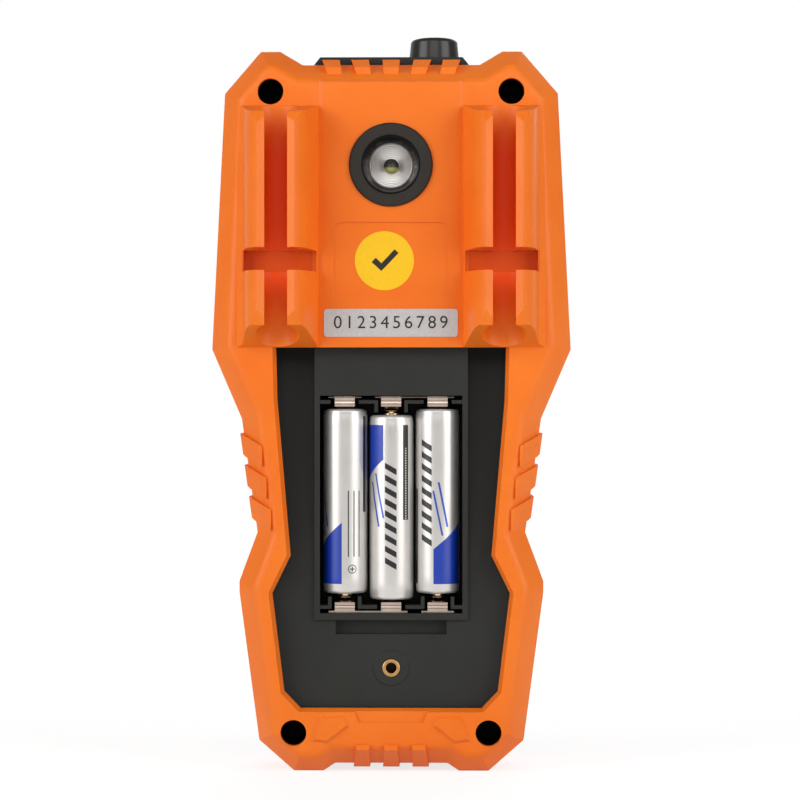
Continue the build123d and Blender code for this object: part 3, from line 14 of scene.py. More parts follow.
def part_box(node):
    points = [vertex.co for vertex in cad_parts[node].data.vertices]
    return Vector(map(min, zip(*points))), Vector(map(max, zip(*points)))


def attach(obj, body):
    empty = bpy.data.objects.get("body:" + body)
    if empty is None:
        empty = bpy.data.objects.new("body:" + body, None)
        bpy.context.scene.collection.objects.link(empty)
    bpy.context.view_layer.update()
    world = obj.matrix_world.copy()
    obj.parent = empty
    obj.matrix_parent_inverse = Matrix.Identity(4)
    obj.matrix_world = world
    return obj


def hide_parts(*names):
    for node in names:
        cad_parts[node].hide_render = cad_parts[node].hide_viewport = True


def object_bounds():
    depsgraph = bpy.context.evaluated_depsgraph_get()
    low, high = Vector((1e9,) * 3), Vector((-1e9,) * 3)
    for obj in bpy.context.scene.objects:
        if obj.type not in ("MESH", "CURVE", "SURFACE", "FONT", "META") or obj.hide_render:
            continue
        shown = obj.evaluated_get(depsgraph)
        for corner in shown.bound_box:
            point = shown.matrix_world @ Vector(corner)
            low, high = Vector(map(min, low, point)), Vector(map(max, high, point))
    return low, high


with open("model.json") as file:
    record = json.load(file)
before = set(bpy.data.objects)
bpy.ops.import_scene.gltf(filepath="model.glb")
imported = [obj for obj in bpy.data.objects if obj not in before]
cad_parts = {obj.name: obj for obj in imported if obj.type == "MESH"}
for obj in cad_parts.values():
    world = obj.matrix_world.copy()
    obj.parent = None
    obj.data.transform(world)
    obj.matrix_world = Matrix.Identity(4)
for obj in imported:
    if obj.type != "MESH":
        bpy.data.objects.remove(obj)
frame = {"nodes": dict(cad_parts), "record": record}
cad_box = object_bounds()

MM = 0.001


# ---------------------------------------------------------------------------- colours and shader nodes
def colour(text):
    """A linear colour with alpha from an sRGB hex code such as "f57e38"."""
    channels = [int(text[i : i + 2], 16) / 255 for i in (0, 2, 4)]
    return tuple(c / 12.92 if c <= 0.04045 else ((c + 0.055) / 1.055) ** 2.4 for c in channels) + (1.0,)


class Shader:
    """A material or a world being built: each call adds one node, sets its inputs and returns an output."""

    def __init__(self, name, world=None):
        self.material = world or bpy.data.materials.new(name)
        self.material.use_nodes = True
        self.tree = self.material.node_tree
        self.tree.nodes.clear()

    def add(self, kind, inputs=None, output=0, **settings):
        node = self.tree.nodes.new("ShaderNode" + kind)
        for key, value in settings.items():
            setattr(node, key, value)
        for key, value in (inputs or {}).items():
            if isinstance(value, bpy.types.NodeSocket):
                self.tree.links.new(value, node.inputs[key])
            else:
                node.inputs[key].default_value = value
        return node.outputs[output] if node.outputs else node

    def math(self, operation, a, b=0.0):
        return self.add("Math", {0: a, 1: b}, operation=operation)

    def between(self, value, low, high):
        """1 where value lies between low and high."""
        return self.every(self.math("GREATER_THAN", value, low), self.math("LESS_THAN", value, high))

    def every(self, *masks):
        """1 where all the masks are 1."""
        product = masks[0]
        for mask in masks[1:]:
            product = self.math("MULTIPLY", product, mask)
        return product

    def either(self, *masks):
        """1 where one of the masks is 1; they don't overlap."""
        total = masks[0]
        for mask in masks[1:]:
            total = self.math("ADD", total, mask)
        return total

    def ramp(self, value, start, end, low=0.0, high=1.0):
        """From low where value is start to high where it is end, level beyond both."""
        span = {"From Min": start, "From Max": end, "To Min": low, "To Max": high}
        return self.add("MapRange", {"Value": value, **span})

    def mix(self, factor, a, b):
        """Colour a where factor is 0 and b where it is 1."""
        return self.add("Mix", {0: factor, 6: a, 7: b}, output=2, data_type="RGBA")

    def finish(self, inputs):
        """Ends the material in a Principled surface."""
        surface = self.add("BsdfPrincipled", inputs)
        self.add("OutputMaterial", {"Surface": surface})
        return self.material


CHANNEL_HALF = 5.3 * MM             # half the width of a clip's channel
SLOT_HALF = 8.2 * MM                # half the length of its guard slot
SLOT_Z = (117.0 * MM, 122.1 * MM)   # the guard slot's foot and top
SLOT_FLOOR_Y = -13.5 * MM           # its floor begins here
REAR_END_Y = -5.0 * MM              # nothing nearer to the meter's front is shaded
TRAY_FLOOR_Y = -7.9 * MM            # the tray's floor begins here


def housing_shade(s, place, tone):
    """Painted shade: redder in the depth of the clips' channels and on the floor of their guard slots, as if light
    reached them only through the orange walls."""
    low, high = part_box("probe_clip_right")
    x = s.math("ABSOLUTE", s.add("SeparateXYZ", {0: place}, output=0))
    y = s.add("SeparateXYZ", {0: place}, output=1)
    z = s.add("SeparateXYZ", {0: place}, output=2)
    off = s.math("ABSOLUTE", s.math("SUBTRACT", x, (low.x + high.x) / 2))
    slot = s.between(z, *SLOT_Z)
    depth = s.ramp(y, -20.6 * MM, -17.5 * MM)
    top = s.ramp(z, high.z - 1.0 * MM, high.z - 12.0 * MM)
    foot = s.ramp(z, low.z + 5.0 * MM, low.z + 16.0 * MM)
    behind = s.math("LESS_THAN", y, REAR_END_Y)
    beside = s.math("SUBTRACT", 1.0, slot)
    # Painted shade in the depth of each channel, tinted ee540c, fading out towards the clip's ends
    channel_painted_shade = s.every(s.math("LESS_THAN", off, CHANNEL_HALF), beside, behind, depth, top, foot)
    # Painted shade on the floor of each guard slot, tinted d8520f
    floor = s.every(s.math("LESS_THAN", off, SLOT_HALF), slot, s.between(y, SLOT_FLOOR_Y, REAR_END_Y))
    return s.mix(floor, s.mix(channel_painted_shade, tone, colour("ee540c")), colour("d8520f"))


def tray_shade(s, place, tone):
    """Painted shade on the tray's floor, deep beside the cells' frame: darker than the frame's grained face towards
    the top, between 30 and 60 mm up.
    """
    y = s.add("SeparateXYZ", {0: place}, output=1)
    z = s.add("SeparateXYZ", {0: place}, output=2)
    # Painted shade: the floor darkens towards 1a1917 as it rises
    floor = s.math("GREATER_THAN", y, TRAY_FLOOR_Y)
    return s.mix(s.every(floor, s.ramp(z, 30.0 * MM, 60.0 * MM)), tone, colour("1a1917"))


def moulded(name, tint, shade, roughness, grain, depth, coat=0.0, specular=0.5, painted_shade=None):
    """Injection-moulded plastic: a fine spark-eroded grain, slow drifts of tone and of gloss, and painted shade
    where a function for it is given.
    """
    s = Shader(name)
    place = s.add("TexCoord", output=3)
    drift = s.add("TexNoise", {"Vector": place, "Scale": 45.0, "Detail": 3.0, "Roughness": 0.55})
    fine = s.add("TexNoise", {"Vector": place, "Scale": grain, "Detail": 2.0, "Roughness": 0.6})
    tone = s.mix(s.ramp(drift, 0.3, 0.7), colour(tint), colour(shade))
    if painted_shade:
        tone = painted_shade(s, place, tone)
    gloss = s.ramp(drift, 0.0, 1.0, roughness - 0.04, roughness + 0.06)
    bump = s.add("Bump", {"Height": fine, "Strength": depth, "Distance": 0.05 * MM})
    return s.finish({
        "Base Color": tone,
        "Roughness": gloss,
        "Normal": bump,
        "Specular IOR Level": specular,
        "Coat Weight": coat,
        "Coat Roughness": 0.25,
    })


def wave_scale(pitch):
    """The wave texture's scale for waves of this pitch."""
    return math.pi / (10 * pitch)


def metal(name, tint, shade, roughness, rolled=0.0):
    """Bare or plated metal with faint smudges; rolled strip has waves of this pitch as well."""
    s = Shader(name)
    place = s.add("TexCoord", output=3)
    smudge = s.add("TexNoise", {"Vector": place, "Scale": 350.0, "Detail": 4.0, "Roughness": 0.6})
    tone = s.mix(smudge, colour(tint), colour(shade))
    gloss = s.ramp(smudge, 0.0, 1.0, roughness - 0.06, roughness + 0.08)
    bump = s.add("Bump", {"Height": smudge, "Strength": 0.15, "Distance": 0.02 * MM})
    if rolled:
        wave = s.add("TexWave", {"Vector": place, "Scale": wave_scale(rolled)}, output=1, bands_direction="Z")
        bump = s.add("Bump", {"Height": wave, "Strength": 0.5, "Distance": 0.25 * MM, "Normal": bump})
    return s.finish({"Base Color": tone, "Roughness": gloss, "Metallic": 1.0, "Normal": bump})


# ---------------------------------------------------------------------------- materials
# Orange ABS of the case, with a satin grain and painted shade in the clips' channels and guard slots.
HOUSING = moulded("housing_orange_painted_shade", "ee7922", "e96f19", 0.4, 5200.0, 0.12, specular=0.27, painted_shade=housing_shade)
# Dark grey ABS of the tray, the cap and the face plate.
DARK = moulded("dark_moulding", "292a27", "232421", 0.5, 4200.0, 0.25, specular=0.27)
# The same dark grey ABS for the tray, with painted shade on its floor.
TRAY = moulded("tray_moulding_painted_shade", "292a27", "232421", 0.5, 4200.0, 0.25, specular=0.27, painted_shade=tray_shade)
# Black nylon of the screw sleeves, jack bushes and display frame.
BLACK = moulded("black_nylon", "0e0c0b", "090807", 0.5, 3000.0, 0.15, specular=0.15)
# Polished dark polymer of the sensor's tip.
TIP = moulded("sensor_tip", "2c2b28", "252421", 0.24, 2500.0, 0.05, specular=0.35)
# Soft grey rubber of the keys.
KEY_RUBBER = moulded("key_rubber", "8b8d8a", "7f817e", 0.62, 3500.0, 0.2)
# Near-black ABS of the range knob.
KNOB_PLASTIC = moulded("knob_plastic", "232321", "1d1d1b", 0.4, 3800.0, 0.12, specular=0.4)
# Unpigmented acetal of the contact carrier.
ACETAL = moulded("acetal", "e3e0d8", "d8d5cc", 0.4, 1500.0, 0.05)
# White polyester inlay and prints.
WHITE_INK = moulded("white_ink", "f1f0ea", "e9e8e2", 0.45, 3000.0, 0.05)
# Black printing ink on the labels.
BLACK_INK = moulded("black_ink", "1c1512", "150f0c", 0.55, 3000.0, 0.05)
# Glass-filled package and ceramic tube of the parts on the board.
PACKAGE = moulded("epoxy_package", "222224", "1b1b1d", 0.5, 2000.0, 0.1)
CERAMIC = moulded("fuse_ceramic", "e8e4d8", "dfdacd", 0.5, 1800.0, 0.1)
# Green solder mask over glass-fibre board.
SOLDER_MASK = moulded("solder_mask", "1e6a3a", "185a31", 0.3, 900.0, 0.08, coat=0.4)
# Turned brass of the insert and the sockets.
BRASS = metal("turned_brass", "dcae72", "bd8e54", 0.3)
# Nickel-plated spring strip of the cell contacts.
NICKEL = metal("nickel_strip", "c6b5a8", "a49284", 0.2, rolled=1.5 * MM)
# Black-oxide steel of the case screws, deep in their wells.
BLACK_STEEL = metal("black_oxide_steel", "1c1a18", "100f0e", 0.5)
# Zinc-plated steel of the board screws and balls.
ZINC = metal("zinc_steel", "8e8c88", "75736f", 0.35)
# Enamelled copper of the coil.
COPPER = metal("copper_wire", "b5642f", "9a5228", 0.35)


MOUTH_R = 6.95 * MM      # the torch funnel's mouth
RING_PITCH = 0.42 * MM   # of the rings turned in the reflector


def bezel_material():
    """The torch ring's dark nylon: satin on its face, polished black inside the funnel."""
    low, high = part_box("torch_bezel")
    axis = (low + high) / 2
    s = Shader("torch_nylon")
    place = s.add("TexCoord", output=3)
    offset = s.add("VectorMath", {0: place, 1: (axis.x, 0.0, axis.z)}, operation="SUBTRACT")
    flat = s.add("VectorMath", {0: offset, 1: (1.0, 0.0, 1.0)}, operation="MULTIPLY")
    radius = s.add("VectorMath", {0: flat}, output=1, operation="LENGTH")
    face = s.math("GREATER_THAN", radius, MOUTH_R)
    grain = s.add("TexNoise", {"Vector": place, "Scale": 3600.0, "Detail": 2.0})
    tone = s.mix(face, colour("060606"), colour("2e2b27"))
    bump = s.add("Bump", {"Height": grain, "Strength": s.math("MULTIPLY", face, 0.2), "Distance": 0.04 * MM})
    return s.finish({
        "Base Color": tone,
        "Roughness": s.ramp(face, 0.0, 1.0, 0.24, 0.55),
        "Specular IOR Level": 0.2,
        "Normal": bump,
    })


def plated_dish():
    """Vacuum-plated plastic of the reflector: bright, with fine turned rings."""
    low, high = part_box("torch_reflector")
    axis = (low + high) / 2
    s = Shader("plated_dish")
    place = s.add("TexCoord", output=3)
    place = s.add("VectorMath", {0: place, 1: axis}, operation="SUBTRACT")
    wave = {"Vector": place, "Scale": wave_scale(RING_PITCH)}
    rings = s.add("TexWave", wave, output=1, wave_type="RINGS", rings_direction="Y")
    bump = s.add("Bump", {"Height": rings, "Strength": 0.6, "Distance": 0.06 * MM})
    tone = s.mix(rings, colour("9a9590"), colour("f0ece8"))
    return s.finish({"Base Color": tone, "Metallic": 1.0, "Roughness": 0.22, "Normal": bump})


def emitter_material():
    """The lamp in the reflector's hole: yellow-green phosphor showing in its lower part, and a painted dark
    reflection over its upper part.
    """
    low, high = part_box("torch_emitter")
    s = Shader("phosphor")
    height = s.add("SeparateXYZ", {0: s.add("TexCoord", output=3)}, output=2)
    middle = (low.z + high.z) / 2
    # Painted reflection: dark 322e27 above the middle, phosphor b9b56f below it
    lower = s.ramp(height, middle - 0.1 * MM, middle - 0.7 * MM)
    return s.finish({"Base Color": s.mix(lower, colour("322e27"), colour("b9b56f")), "Roughness": 0.12})


def clear(name, tint):
    """Clear moulded plastic."""
    s = Shader(name)
    return s.finish({"Base Color": colour(tint), "Roughness": 0.03, "Transmission Weight": 1.0, "IOR": 1.49})


def film_material(name, tint, shade, metallic, roughness):
    """Printed film or coated glass: even colour, faint orange peel, and silver flake where it is metallic."""
    s = Shader(name)
    place = s.add("TexCoord", output=3)
    flake = s.add("TexVoronoi", {"Vector": place, "Scale": 2600.0}, output=1)
    grey = s.add("RGBToBW", {"Color": flake})
    tone = s.mix(grey, colour(tint), colour(shade))
    bump = s.add("Bump", {"Height": grey, "Strength": 0.12, "Distance": 0.02 * MM})
    return s.finish({"Base Color": tone, "Metallic": metallic, "Roughness": roughness, "Normal": bump})


JACKET_ROUND, JACKET_L = 33.0, 43.4   # the unrolled jacket in mm, as the print's measures below
INK_ON_CELLS = "1f1e20"


def cell_material():
    """The cell's printed foil jacket, by angle (U) and height (V). Its print is measured in mm round the cell from
    its front, and along it from its middle towards the nub."""
    s = Shader("cell_jacket")
    uv = s.add("UVMap", uv_map="wrap")
    u = s.math("FRACT", s.add("SeparateXYZ", {0: uv}, output=0))
    v = s.add("SeparateXYZ", {0: uv}, output=1)
    across = s.math("MULTIPLY", s.math("SUBTRACT", u, 0.5), JACKET_ROUND)
    along = s.math("MULTIPLY", s.math("SUBTRACT", v, 0.5), JACKET_L)

    def box(left, right, low, high):
        return s.every(s.between(across, left, right), s.between(along, low, high))

    def comb(value, teeth, share):
        """1 on a share of each of so many teeth in a unit of value."""
        return s.math("LESS_THAN", s.math("FRACT", s.math("MULTIPLY", value, teeth)), share)

    # A blue field with a slanted end, and two steep streaks under it.
    slope = s.math("SUBTRACT", along, s.math("MULTIPLY", across, 0.83))
    field = s.every(box(-9.4, -1.9, 0.0, 19.4), s.math("GREATER_THAN", slope, 12.8))
    steep = s.math("ADD", along, s.math("MULTIPLY", across, 4.8))
    outer_streak = s.every(s.between(steep, -20.8, -18.4), s.between(along, -4.5, 6.0))
    inner_streak = s.every(s.between(steep, -12.6, -10.4), s.between(along, -2.5, 8.0))

    # A row of slanted bars at the front, a dotted dark strip beside it, a plain one and fine lines behind.
    step = s.math("ADD", s.math("MULTIPLY", along, 0.36), s.math("MULTIPLY", across, 0.2))
    bars = s.every(s.between(across, -1.5, 1.3), s.between(step, -5.0, 3.5), comb(step, 1.0, 0.5))
    gaps = comb(along, 1.7, 0.4)
    dots = s.every(box(3.6, 3.95, -2.9, 14.0), s.math("SUBTRACT", 1.0, gaps))
    strip = s.every(box(2.96, 4.56, -2.9, 19.4), s.math("SUBTRACT", 1.0, dots))
    far_strip = box(-16.3, -15.1, -20.0, 2.5)
    fine_lines = s.every(box(-14.3, -10.6, -2.5, 13.0), comb(across, 0.72, 0.2))

    # A plus in a ring.
    mark_u, mark_v = s.math("ADD", across, 11.95), s.math("SUBTRACT", along, 15.9)
    square = s.math("ADD", s.math("MULTIPLY", mark_u, mark_u), s.math("MULTIPLY", mark_v, mark_v))
    reach = s.math("SQRT", square)
    arm = s.math("MINIMUM", s.math("ABSOLUTE", mark_u), s.math("ABSOLUTE", mark_v))
    plus = s.every(s.math("LESS_THAN", arm, 0.12), s.math("LESS_THAN", reach, 0.6))
    ring = s.between(reach, 0.85, 1.05)

    place = s.add("TexCoord", output=3)
    smudge = s.add("TexNoise", {"Vector": place, "Scale": 160.0, "Detail": 3.0})
    base = s.mix(smudge, colour("dcd9d5"), colour("c9c6c2"))
    base = s.mix(field, base, colour("1639a4"))
    base = s.mix(s.either(outer_streak, inner_streak), base, colour("3a58b4"))
    inked = s.either(bars, strip, far_strip, fine_lines, plus, ring)
    base = s.mix(inked, base, colour(INK_ON_CELLS))
    jacket = s.ramp(s.either(field, inked), 0.0, 1.0, 0.55, 0.0)
    nub = s.math("GREATER_THAN", v, 1.0001)
    return s.finish({
        "Base Color": s.mix(nub, base, colour("d8c2a2")),
        "Metallic": s.math("MAXIMUM", jacket, nub),
        "Roughness": s.ramp(nub, 0.0, 1.0, 0.34, 0.14),
    })


# ---------------------------------------------------------------------------- pieces
INK_T = 0.02 * MM   # printing ink


def link(piece, body):
    """Puts a new piece in the scene and makes it ride on a body."""
    bpy.context.scene.collection.objects.link(piece)
    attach(piece, body)
    return piece


def mesh_piece(name, bm, material, body, smooth=40):
    """A new piece from a bmesh, shaded smooth up to an angle in degrees, which rides on a body."""
    mesh = bpy.data.meshes.new(name)
    bm.to_mesh(mesh)
    bm.free()
    mesh.materials.append(material)
    mesh.shade_smooth()
    mesh.set_sharp_from_angle(angle=math.radians(smooth))
    return link(bpy.data.objects.new(name, mesh), body)


def body_of(node):
    return next(body for body, nodes in frame["record"]["behaviour"]["bodies"].items() if node in nodes)


def dress(node, material, edge=0.2 * MM, angle=32):
    """A copy of a CAD node with its faces merged and its edges softened, which stands for the node."""
    bm = bmesh.new()
    bm.from_mesh(frame["nodes"][node].data)
    bmesh.ops.remove_doubles(bm, verts=bm.verts, dist=1e-6)
    bmesh.ops.dissolve_limit(bm, angle_limit=math.radians(0.5), verts=bm.verts, edges=bm.edges)
    piece = mesh_piece(node + "_finished", bm, material, body_of(node), angle)
    if "custom_normal" in piece.data.attributes:
        piece.data.attributes.remove(piece.data.attributes["custom_normal"])
    bevel = piece.modifiers.new("soft_edges", "BEVEL")
    bevel.width = edge
    bevel.segments = 2
    bevel.limit_method = "ANGLE"
    bevel.angle_limit = math.radians(angle)
    bevel.use_clamp_overlap = True
    bevel.harden_normals = True
    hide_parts(node)


def paint(node, material):
    """Gives a CAD node that stays as it is a better material."""
    mesh = frame["nodes"][node].data
    mesh.materials.clear()
    mesh.materials.append(material)


def plate(outlines, y, thickness, toward=-1):
    """Thin sheets standing on depth y and facing -Y or +Y (toward), from outlines of (x, z) points, as a bmesh."""
    bm = bmesh.new()
    for outline in outlines:
        face = bm.faces.new([bm.verts.new((x, y, z)) for x, z in outline])
        moved = bmesh.ops.extrude_face_region(bm, geom=[face])["geom"]
        verts = [v for v in moved if isinstance(v, bmesh.types.BMVert)]
        bmesh.ops.translate(bm, vec=(0, toward * thickness, 0), verts=verts)
    bmesh.ops.recalc_face_normals(bm, faces=bm.faces)
    return bm


def band(x, z, inner, outer, y, thickness, toward=-1, steps=64):
    """A flat ring standing on depth y, as a bmesh."""
    bm = bmesh.new()
    corners = [(inner, 0.0), (outer, 0.0), (outer, toward * thickness), (inner, toward * thickness)]
    loops = []
    for k in range(steps):
        angle = 2 * math.pi * k / steps
        loops.append([bm.verts.new((x + r * math.cos(angle), y + d, z + r * math.sin(angle))) for r, d in corners])
    for a, b in zip(loops, loops[1:] + loops[:1]):
        for k in range(4):
            bm.faces.new([a[k], a[(k + 1) % 4], b[(k + 1) % 4], b[k]])
    bmesh.ops.recalc_face_normals(bm, faces=bm.faces)
    return bm


def rounded_rectangle(x, z, width, height, radius, steps=8):
    points = []
    for cx, cz, start in ((1, 1, 0), (-1, 1, 90), (-1, -1, 180), (1, -1, 270)):
        for k in range(steps + 1):
            angle = math.radians(start + 90 * k / steps)
            points.append((
                x + cx * (width / 2 - radius) + radius * math.cos(angle),
                z + cz * (height / 2 - radius) + radius * math.sin(angle),
            ))
    return points


def circle(x, z, radius, steps=72):
    return [
        (x + radius * math.cos(2 * math.pi * k / steps), z + radius * math.sin(2 * math.pi * k / steps))
        for k in range(steps)
    ]


def printed_numbers(name, signs, y, height, material, body, toward=-1):
    """Plain numbers in thin ink on depth y: signs are (text, x, z) and toward is the side that they face."""
    turn = Matrix.Rotation(math.radians(90), 4, "X")
    if toward > 0:
        turn = Matrix.Rotation(math.radians(180), 4, "Z") @ turn
    joined = bmesh.new()
    for text, x, z in signs:
        curve = bpy.data.curves.new(name, "FONT")
        curve.body = text
        curve.align_x = "CENTER"
        curve.align_y = "CENTER"
        curve.size = height / 0.72
        curve.extrude = INK_T / 2
        holder = bpy.data.objects.new(name, curve)
        flat = bpy.data.meshes.new_from_object(holder)
        flat.transform(Matrix.Translation((x, y + toward * INK_T / 2, z)) @ turn)
        joined.from_mesh(flat)
        bpy.data.objects.remove(holder)
        bpy.data.curves.remove(curve)
        bpy.data.meshes.remove(flat)
    return mesh_piece(name, joined, material, body)


# ---------------------------------------------------------------------------- cells
NUB_R, NUB_H = 1.9 * MM, 1.1 * MM
CAN_STEPS = 72


def make_cell(node, up, turn):
    """A cell as a lathed can: crimped ends, jacket lip, positive nub, which is on top where the cell is up. turn
    shifts the print round it."""
    low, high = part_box(node)
    radius = (high.x - low.x) / 2
    length = high.z - low.z
    top = length - NUB_H
    profile = [
        (0.0, 0.25 * MM),
        (radius * 0.58, 0.25 * MM),
        (radius * 0.62, 0.0),
        (radius * 0.86, 0.0),
        (radius * 0.95, 0.25 * MM),
        (radius * 0.985, 0.75 * MM),
        (radius * 0.975, 1.05 * MM),
        (radius, 1.45 * MM),
        (radius, 4.0 * MM),
        (radius, top / 2),
        (radius, top - 4.0 * MM),
        (radius, top - 1.6 * MM),
        (radius * 0.975, top - 1.2 * MM),
        (radius * 0.985, top - 0.8 * MM),
        (radius * 0.94, top - 0.25 * MM),
        (radius * 0.84, top),
        (NUB_R * 1.25, top),
        (NUB_R, top + 0.15 * MM),
        (NUB_R, length - 0.35 * MM),
        (NUB_R * 0.9, length - 0.05 * MM),
        (NUB_R * 0.6, length),
        (0.0, length),
    ]
    bm = bmesh.new()
    wrap = bm.loops.layers.uv.new("wrap")
    rings = []
    for r, z in profile:
        angles = [2 * math.pi * k / CAN_STEPS for k in range(CAN_STEPS if r else 1)]
        rings.append([bm.verts.new((r * math.sin(angle), -r * math.cos(angle), z)) for angle in angles])
    for (_, z0), lower, (_, z1), upper in zip(profile, rings, profile[1:], rings[1:]):
        for k in range(CAN_STEPS):
            a, b = k % len(lower), (k + 1) % len(lower)
            c, d = (k + 1) % len(upper), k % len(upper)
            corners = [(lower[a], k, z0), (lower[b], k + 1, z0), (upper[c], k + 1, z1), (upper[d], k, z1)]
            unique = [corner for i, corner in enumerate(corners) if corner[0] not in [o[0] for o in corners[:i]]]
            face = bm.faces.new([corner[0] for corner in unique])
            for loop, (_, step, z) in zip(face.loops, unique):
                loop[wrap].uv = (step / CAN_STEPS + 0.5 + turn, z / top)
    bmesh.ops.recalc_face_normals(bm, faces=bm.faces)
    place = Matrix.Translation(((low.x + high.x) / 2, (low.y + high.y) / 2, low.z if up else high.z))
    if not up:
        place = place @ Matrix.Rotation(math.pi, 4, "Y")
    bmesh.ops.transform(bm, matrix=place, verts=bm.verts)
    piece = mesh_piece(node + "_can", bm, CELL_FOIL, body_of(node), smooth=50)
    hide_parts(node)


# ---------------------------------------------------------------------------- finish every node
for node in ("rear_shell", "front_shell", "probe_clip_left", "probe_clip_right"):
    dress(node, HOUSING, edge=0.3 * MM)
dress("battery_tray", TRAY, edge=0.2 * MM)
for node in ("head_cap", "face_plate"):
    dress(node, DARK, edge=0.2 * MM)
dress("sensor_tip", TIP, edge=0.1 * MM)
dress("range_knob", KNOB_PLASTIC, edge=0.25 * MM)
for node in frame["nodes"]:
    if node.startswith(("contact_top", "contact_foot")):
        dress(node, NICKEL, edge=0.08 * MM)
dress("torch_bezel", bezel_material(), edge=0.15 * MM)
paint("torch_reflector", plated_dish())
dress("threaded_insert", BRASS, edge=0.1 * MM)

for node in frame["nodes"]:
    if node.startswith(("key_", "round_key_")) and node != "key_switches":
        dress(node, KEY_RUBBER, edge=0.2 * MM)
    elif node.startswith("jack_bush_"):
        dress(node, BLACK, edge=0.15 * MM)
    elif node.startswith("jack_"):
        paint(node, BRASS)

PAINTED = {
    "knob_pointer": WHITE_INK,
    "contact_carrier": ACETAL,
    "detent_balls": ZINC,
    "wipers": BRASS,
    "circuit_board": SOLDER_MASK,
    "torch_board": SOLDER_MASK,
    "torch_pins": BRASS,
    "board_screws": ZINC,
    "case_screws": BLACK_STEEL,
    "measuring_chip": PACKAGE,
    "key_switches": PACKAGE,
    "buzzer": PACKAGE,
    "fuse": CERAMIC,
    "small_fuse": CERAMIC,
    "fuse_clips": NICKEL,
    "antenna_core": PACKAGE,
    "antenna_coil": COPPER,
    "display_frame": BLACK,
    "zebra_strips": PACKAGE,
    "backlight": WHITE_INK,
    "display_glass": film_material("display_glass", "8d978a", "879184", 0.0, 0.2),
    "display_lens": clear("display_lens", "e8ecea"),
    "torch_emitter": emitter_material(),
    "screw_sleeves": BLACK,
}
for node, material in PAINTED.items():
    paint(node, material)

CELL_FOIL = cell_material()
make_cell("cell_left", False, -0.306)
make_cell("cell_middle", True, 0.0)
make_cell("cell_right", False, -0.088)


# ---------------------------------------------------------------------------- sticker and label
BEZEL_PROUD = 0.9 * MM    # the torch ring stands proud of the panel, which holds the labels
RECESS_DEEP = 0.3 * MM    # the sticker's field lies this far under the panel
STICKER_AT = (-1.5 * MM, 119.7 * MM)
STICKER_R, STICKER_T = 6.9 * MM, 0.08 * MM
TICK = [(-3.0, -0.3), (-2.0, 0.7), (-0.7, -0.6), (2.4, 2.7), (3.3, 1.8), (-0.7, -2.4)]   # in mm from its middle
LABEL_Z, LABEL_W, LABEL_H, LABEL_R, LABEL_T = 105.2 * MM, 31.2 * MM, 6.5 * MM, 0.8 * MM, 0.1 * MM
DIGIT_PITCH, DIGIT_H = 2.75 * MM, 3.0 * MM


def make_labels():
    """The round yellow sticker with a plain tick, and the silver label with plain numbers, between the clips."""
    face_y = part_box("torch_bezel")[0].y + BEZEL_PROUD
    recess_y = face_y + RECESS_DEEP
    x, z = STICKER_AT
    yellow = film_material("yellow_film", "f4c402", "eebd02", 0.0, 0.42)
    mesh_piece("round_sticker", plate([circle(x, z, STICKER_R)], recess_y, STICKER_T), yellow, "housing")
    outline = [(x + px * MM, z + pz * MM) for px, pz in TICK]
    mesh_piece("sticker_tick", plate([outline], recess_y - STICKER_T, INK_T), BLACK_INK, "housing")
    silver = film_material("silver_film", "c6c4c2", "b9b7b5", 0.25, 0.45)
    outline = rounded_rectangle(0.0, LABEL_Z, LABEL_W, LABEL_H, LABEL_R)
    mesh_piece("number_label", plate([outline], face_y, LABEL_T), silver, "housing")
    signs = [(str(k), (k - 4.5) * DIGIT_PITCH, LABEL_Z) for k in range(10)]
    printed_numbers("label_numbers", signs, face_y - LABEL_T, DIGIT_H, BLACK_INK, "housing")


make_labels()


# ---------------------------------------------------------------------------- prints on the front
FACE_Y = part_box("face_plate")[1].y
KNOB_LOW, KNOB_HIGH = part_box("range_knob")
KNOB_MIDDLE_Z = (KNOB_LOW.z + KNOB_HIGH.z) / 2
RED_INK = moulded("red_ink", "c4281c", "b82318", 0.45, 3000.0, 0.05)
LIQUID_CRYSTAL = moulded("liquid_crystal", "23281f", "1f241c", 0.3, 3000.0, 0.02)


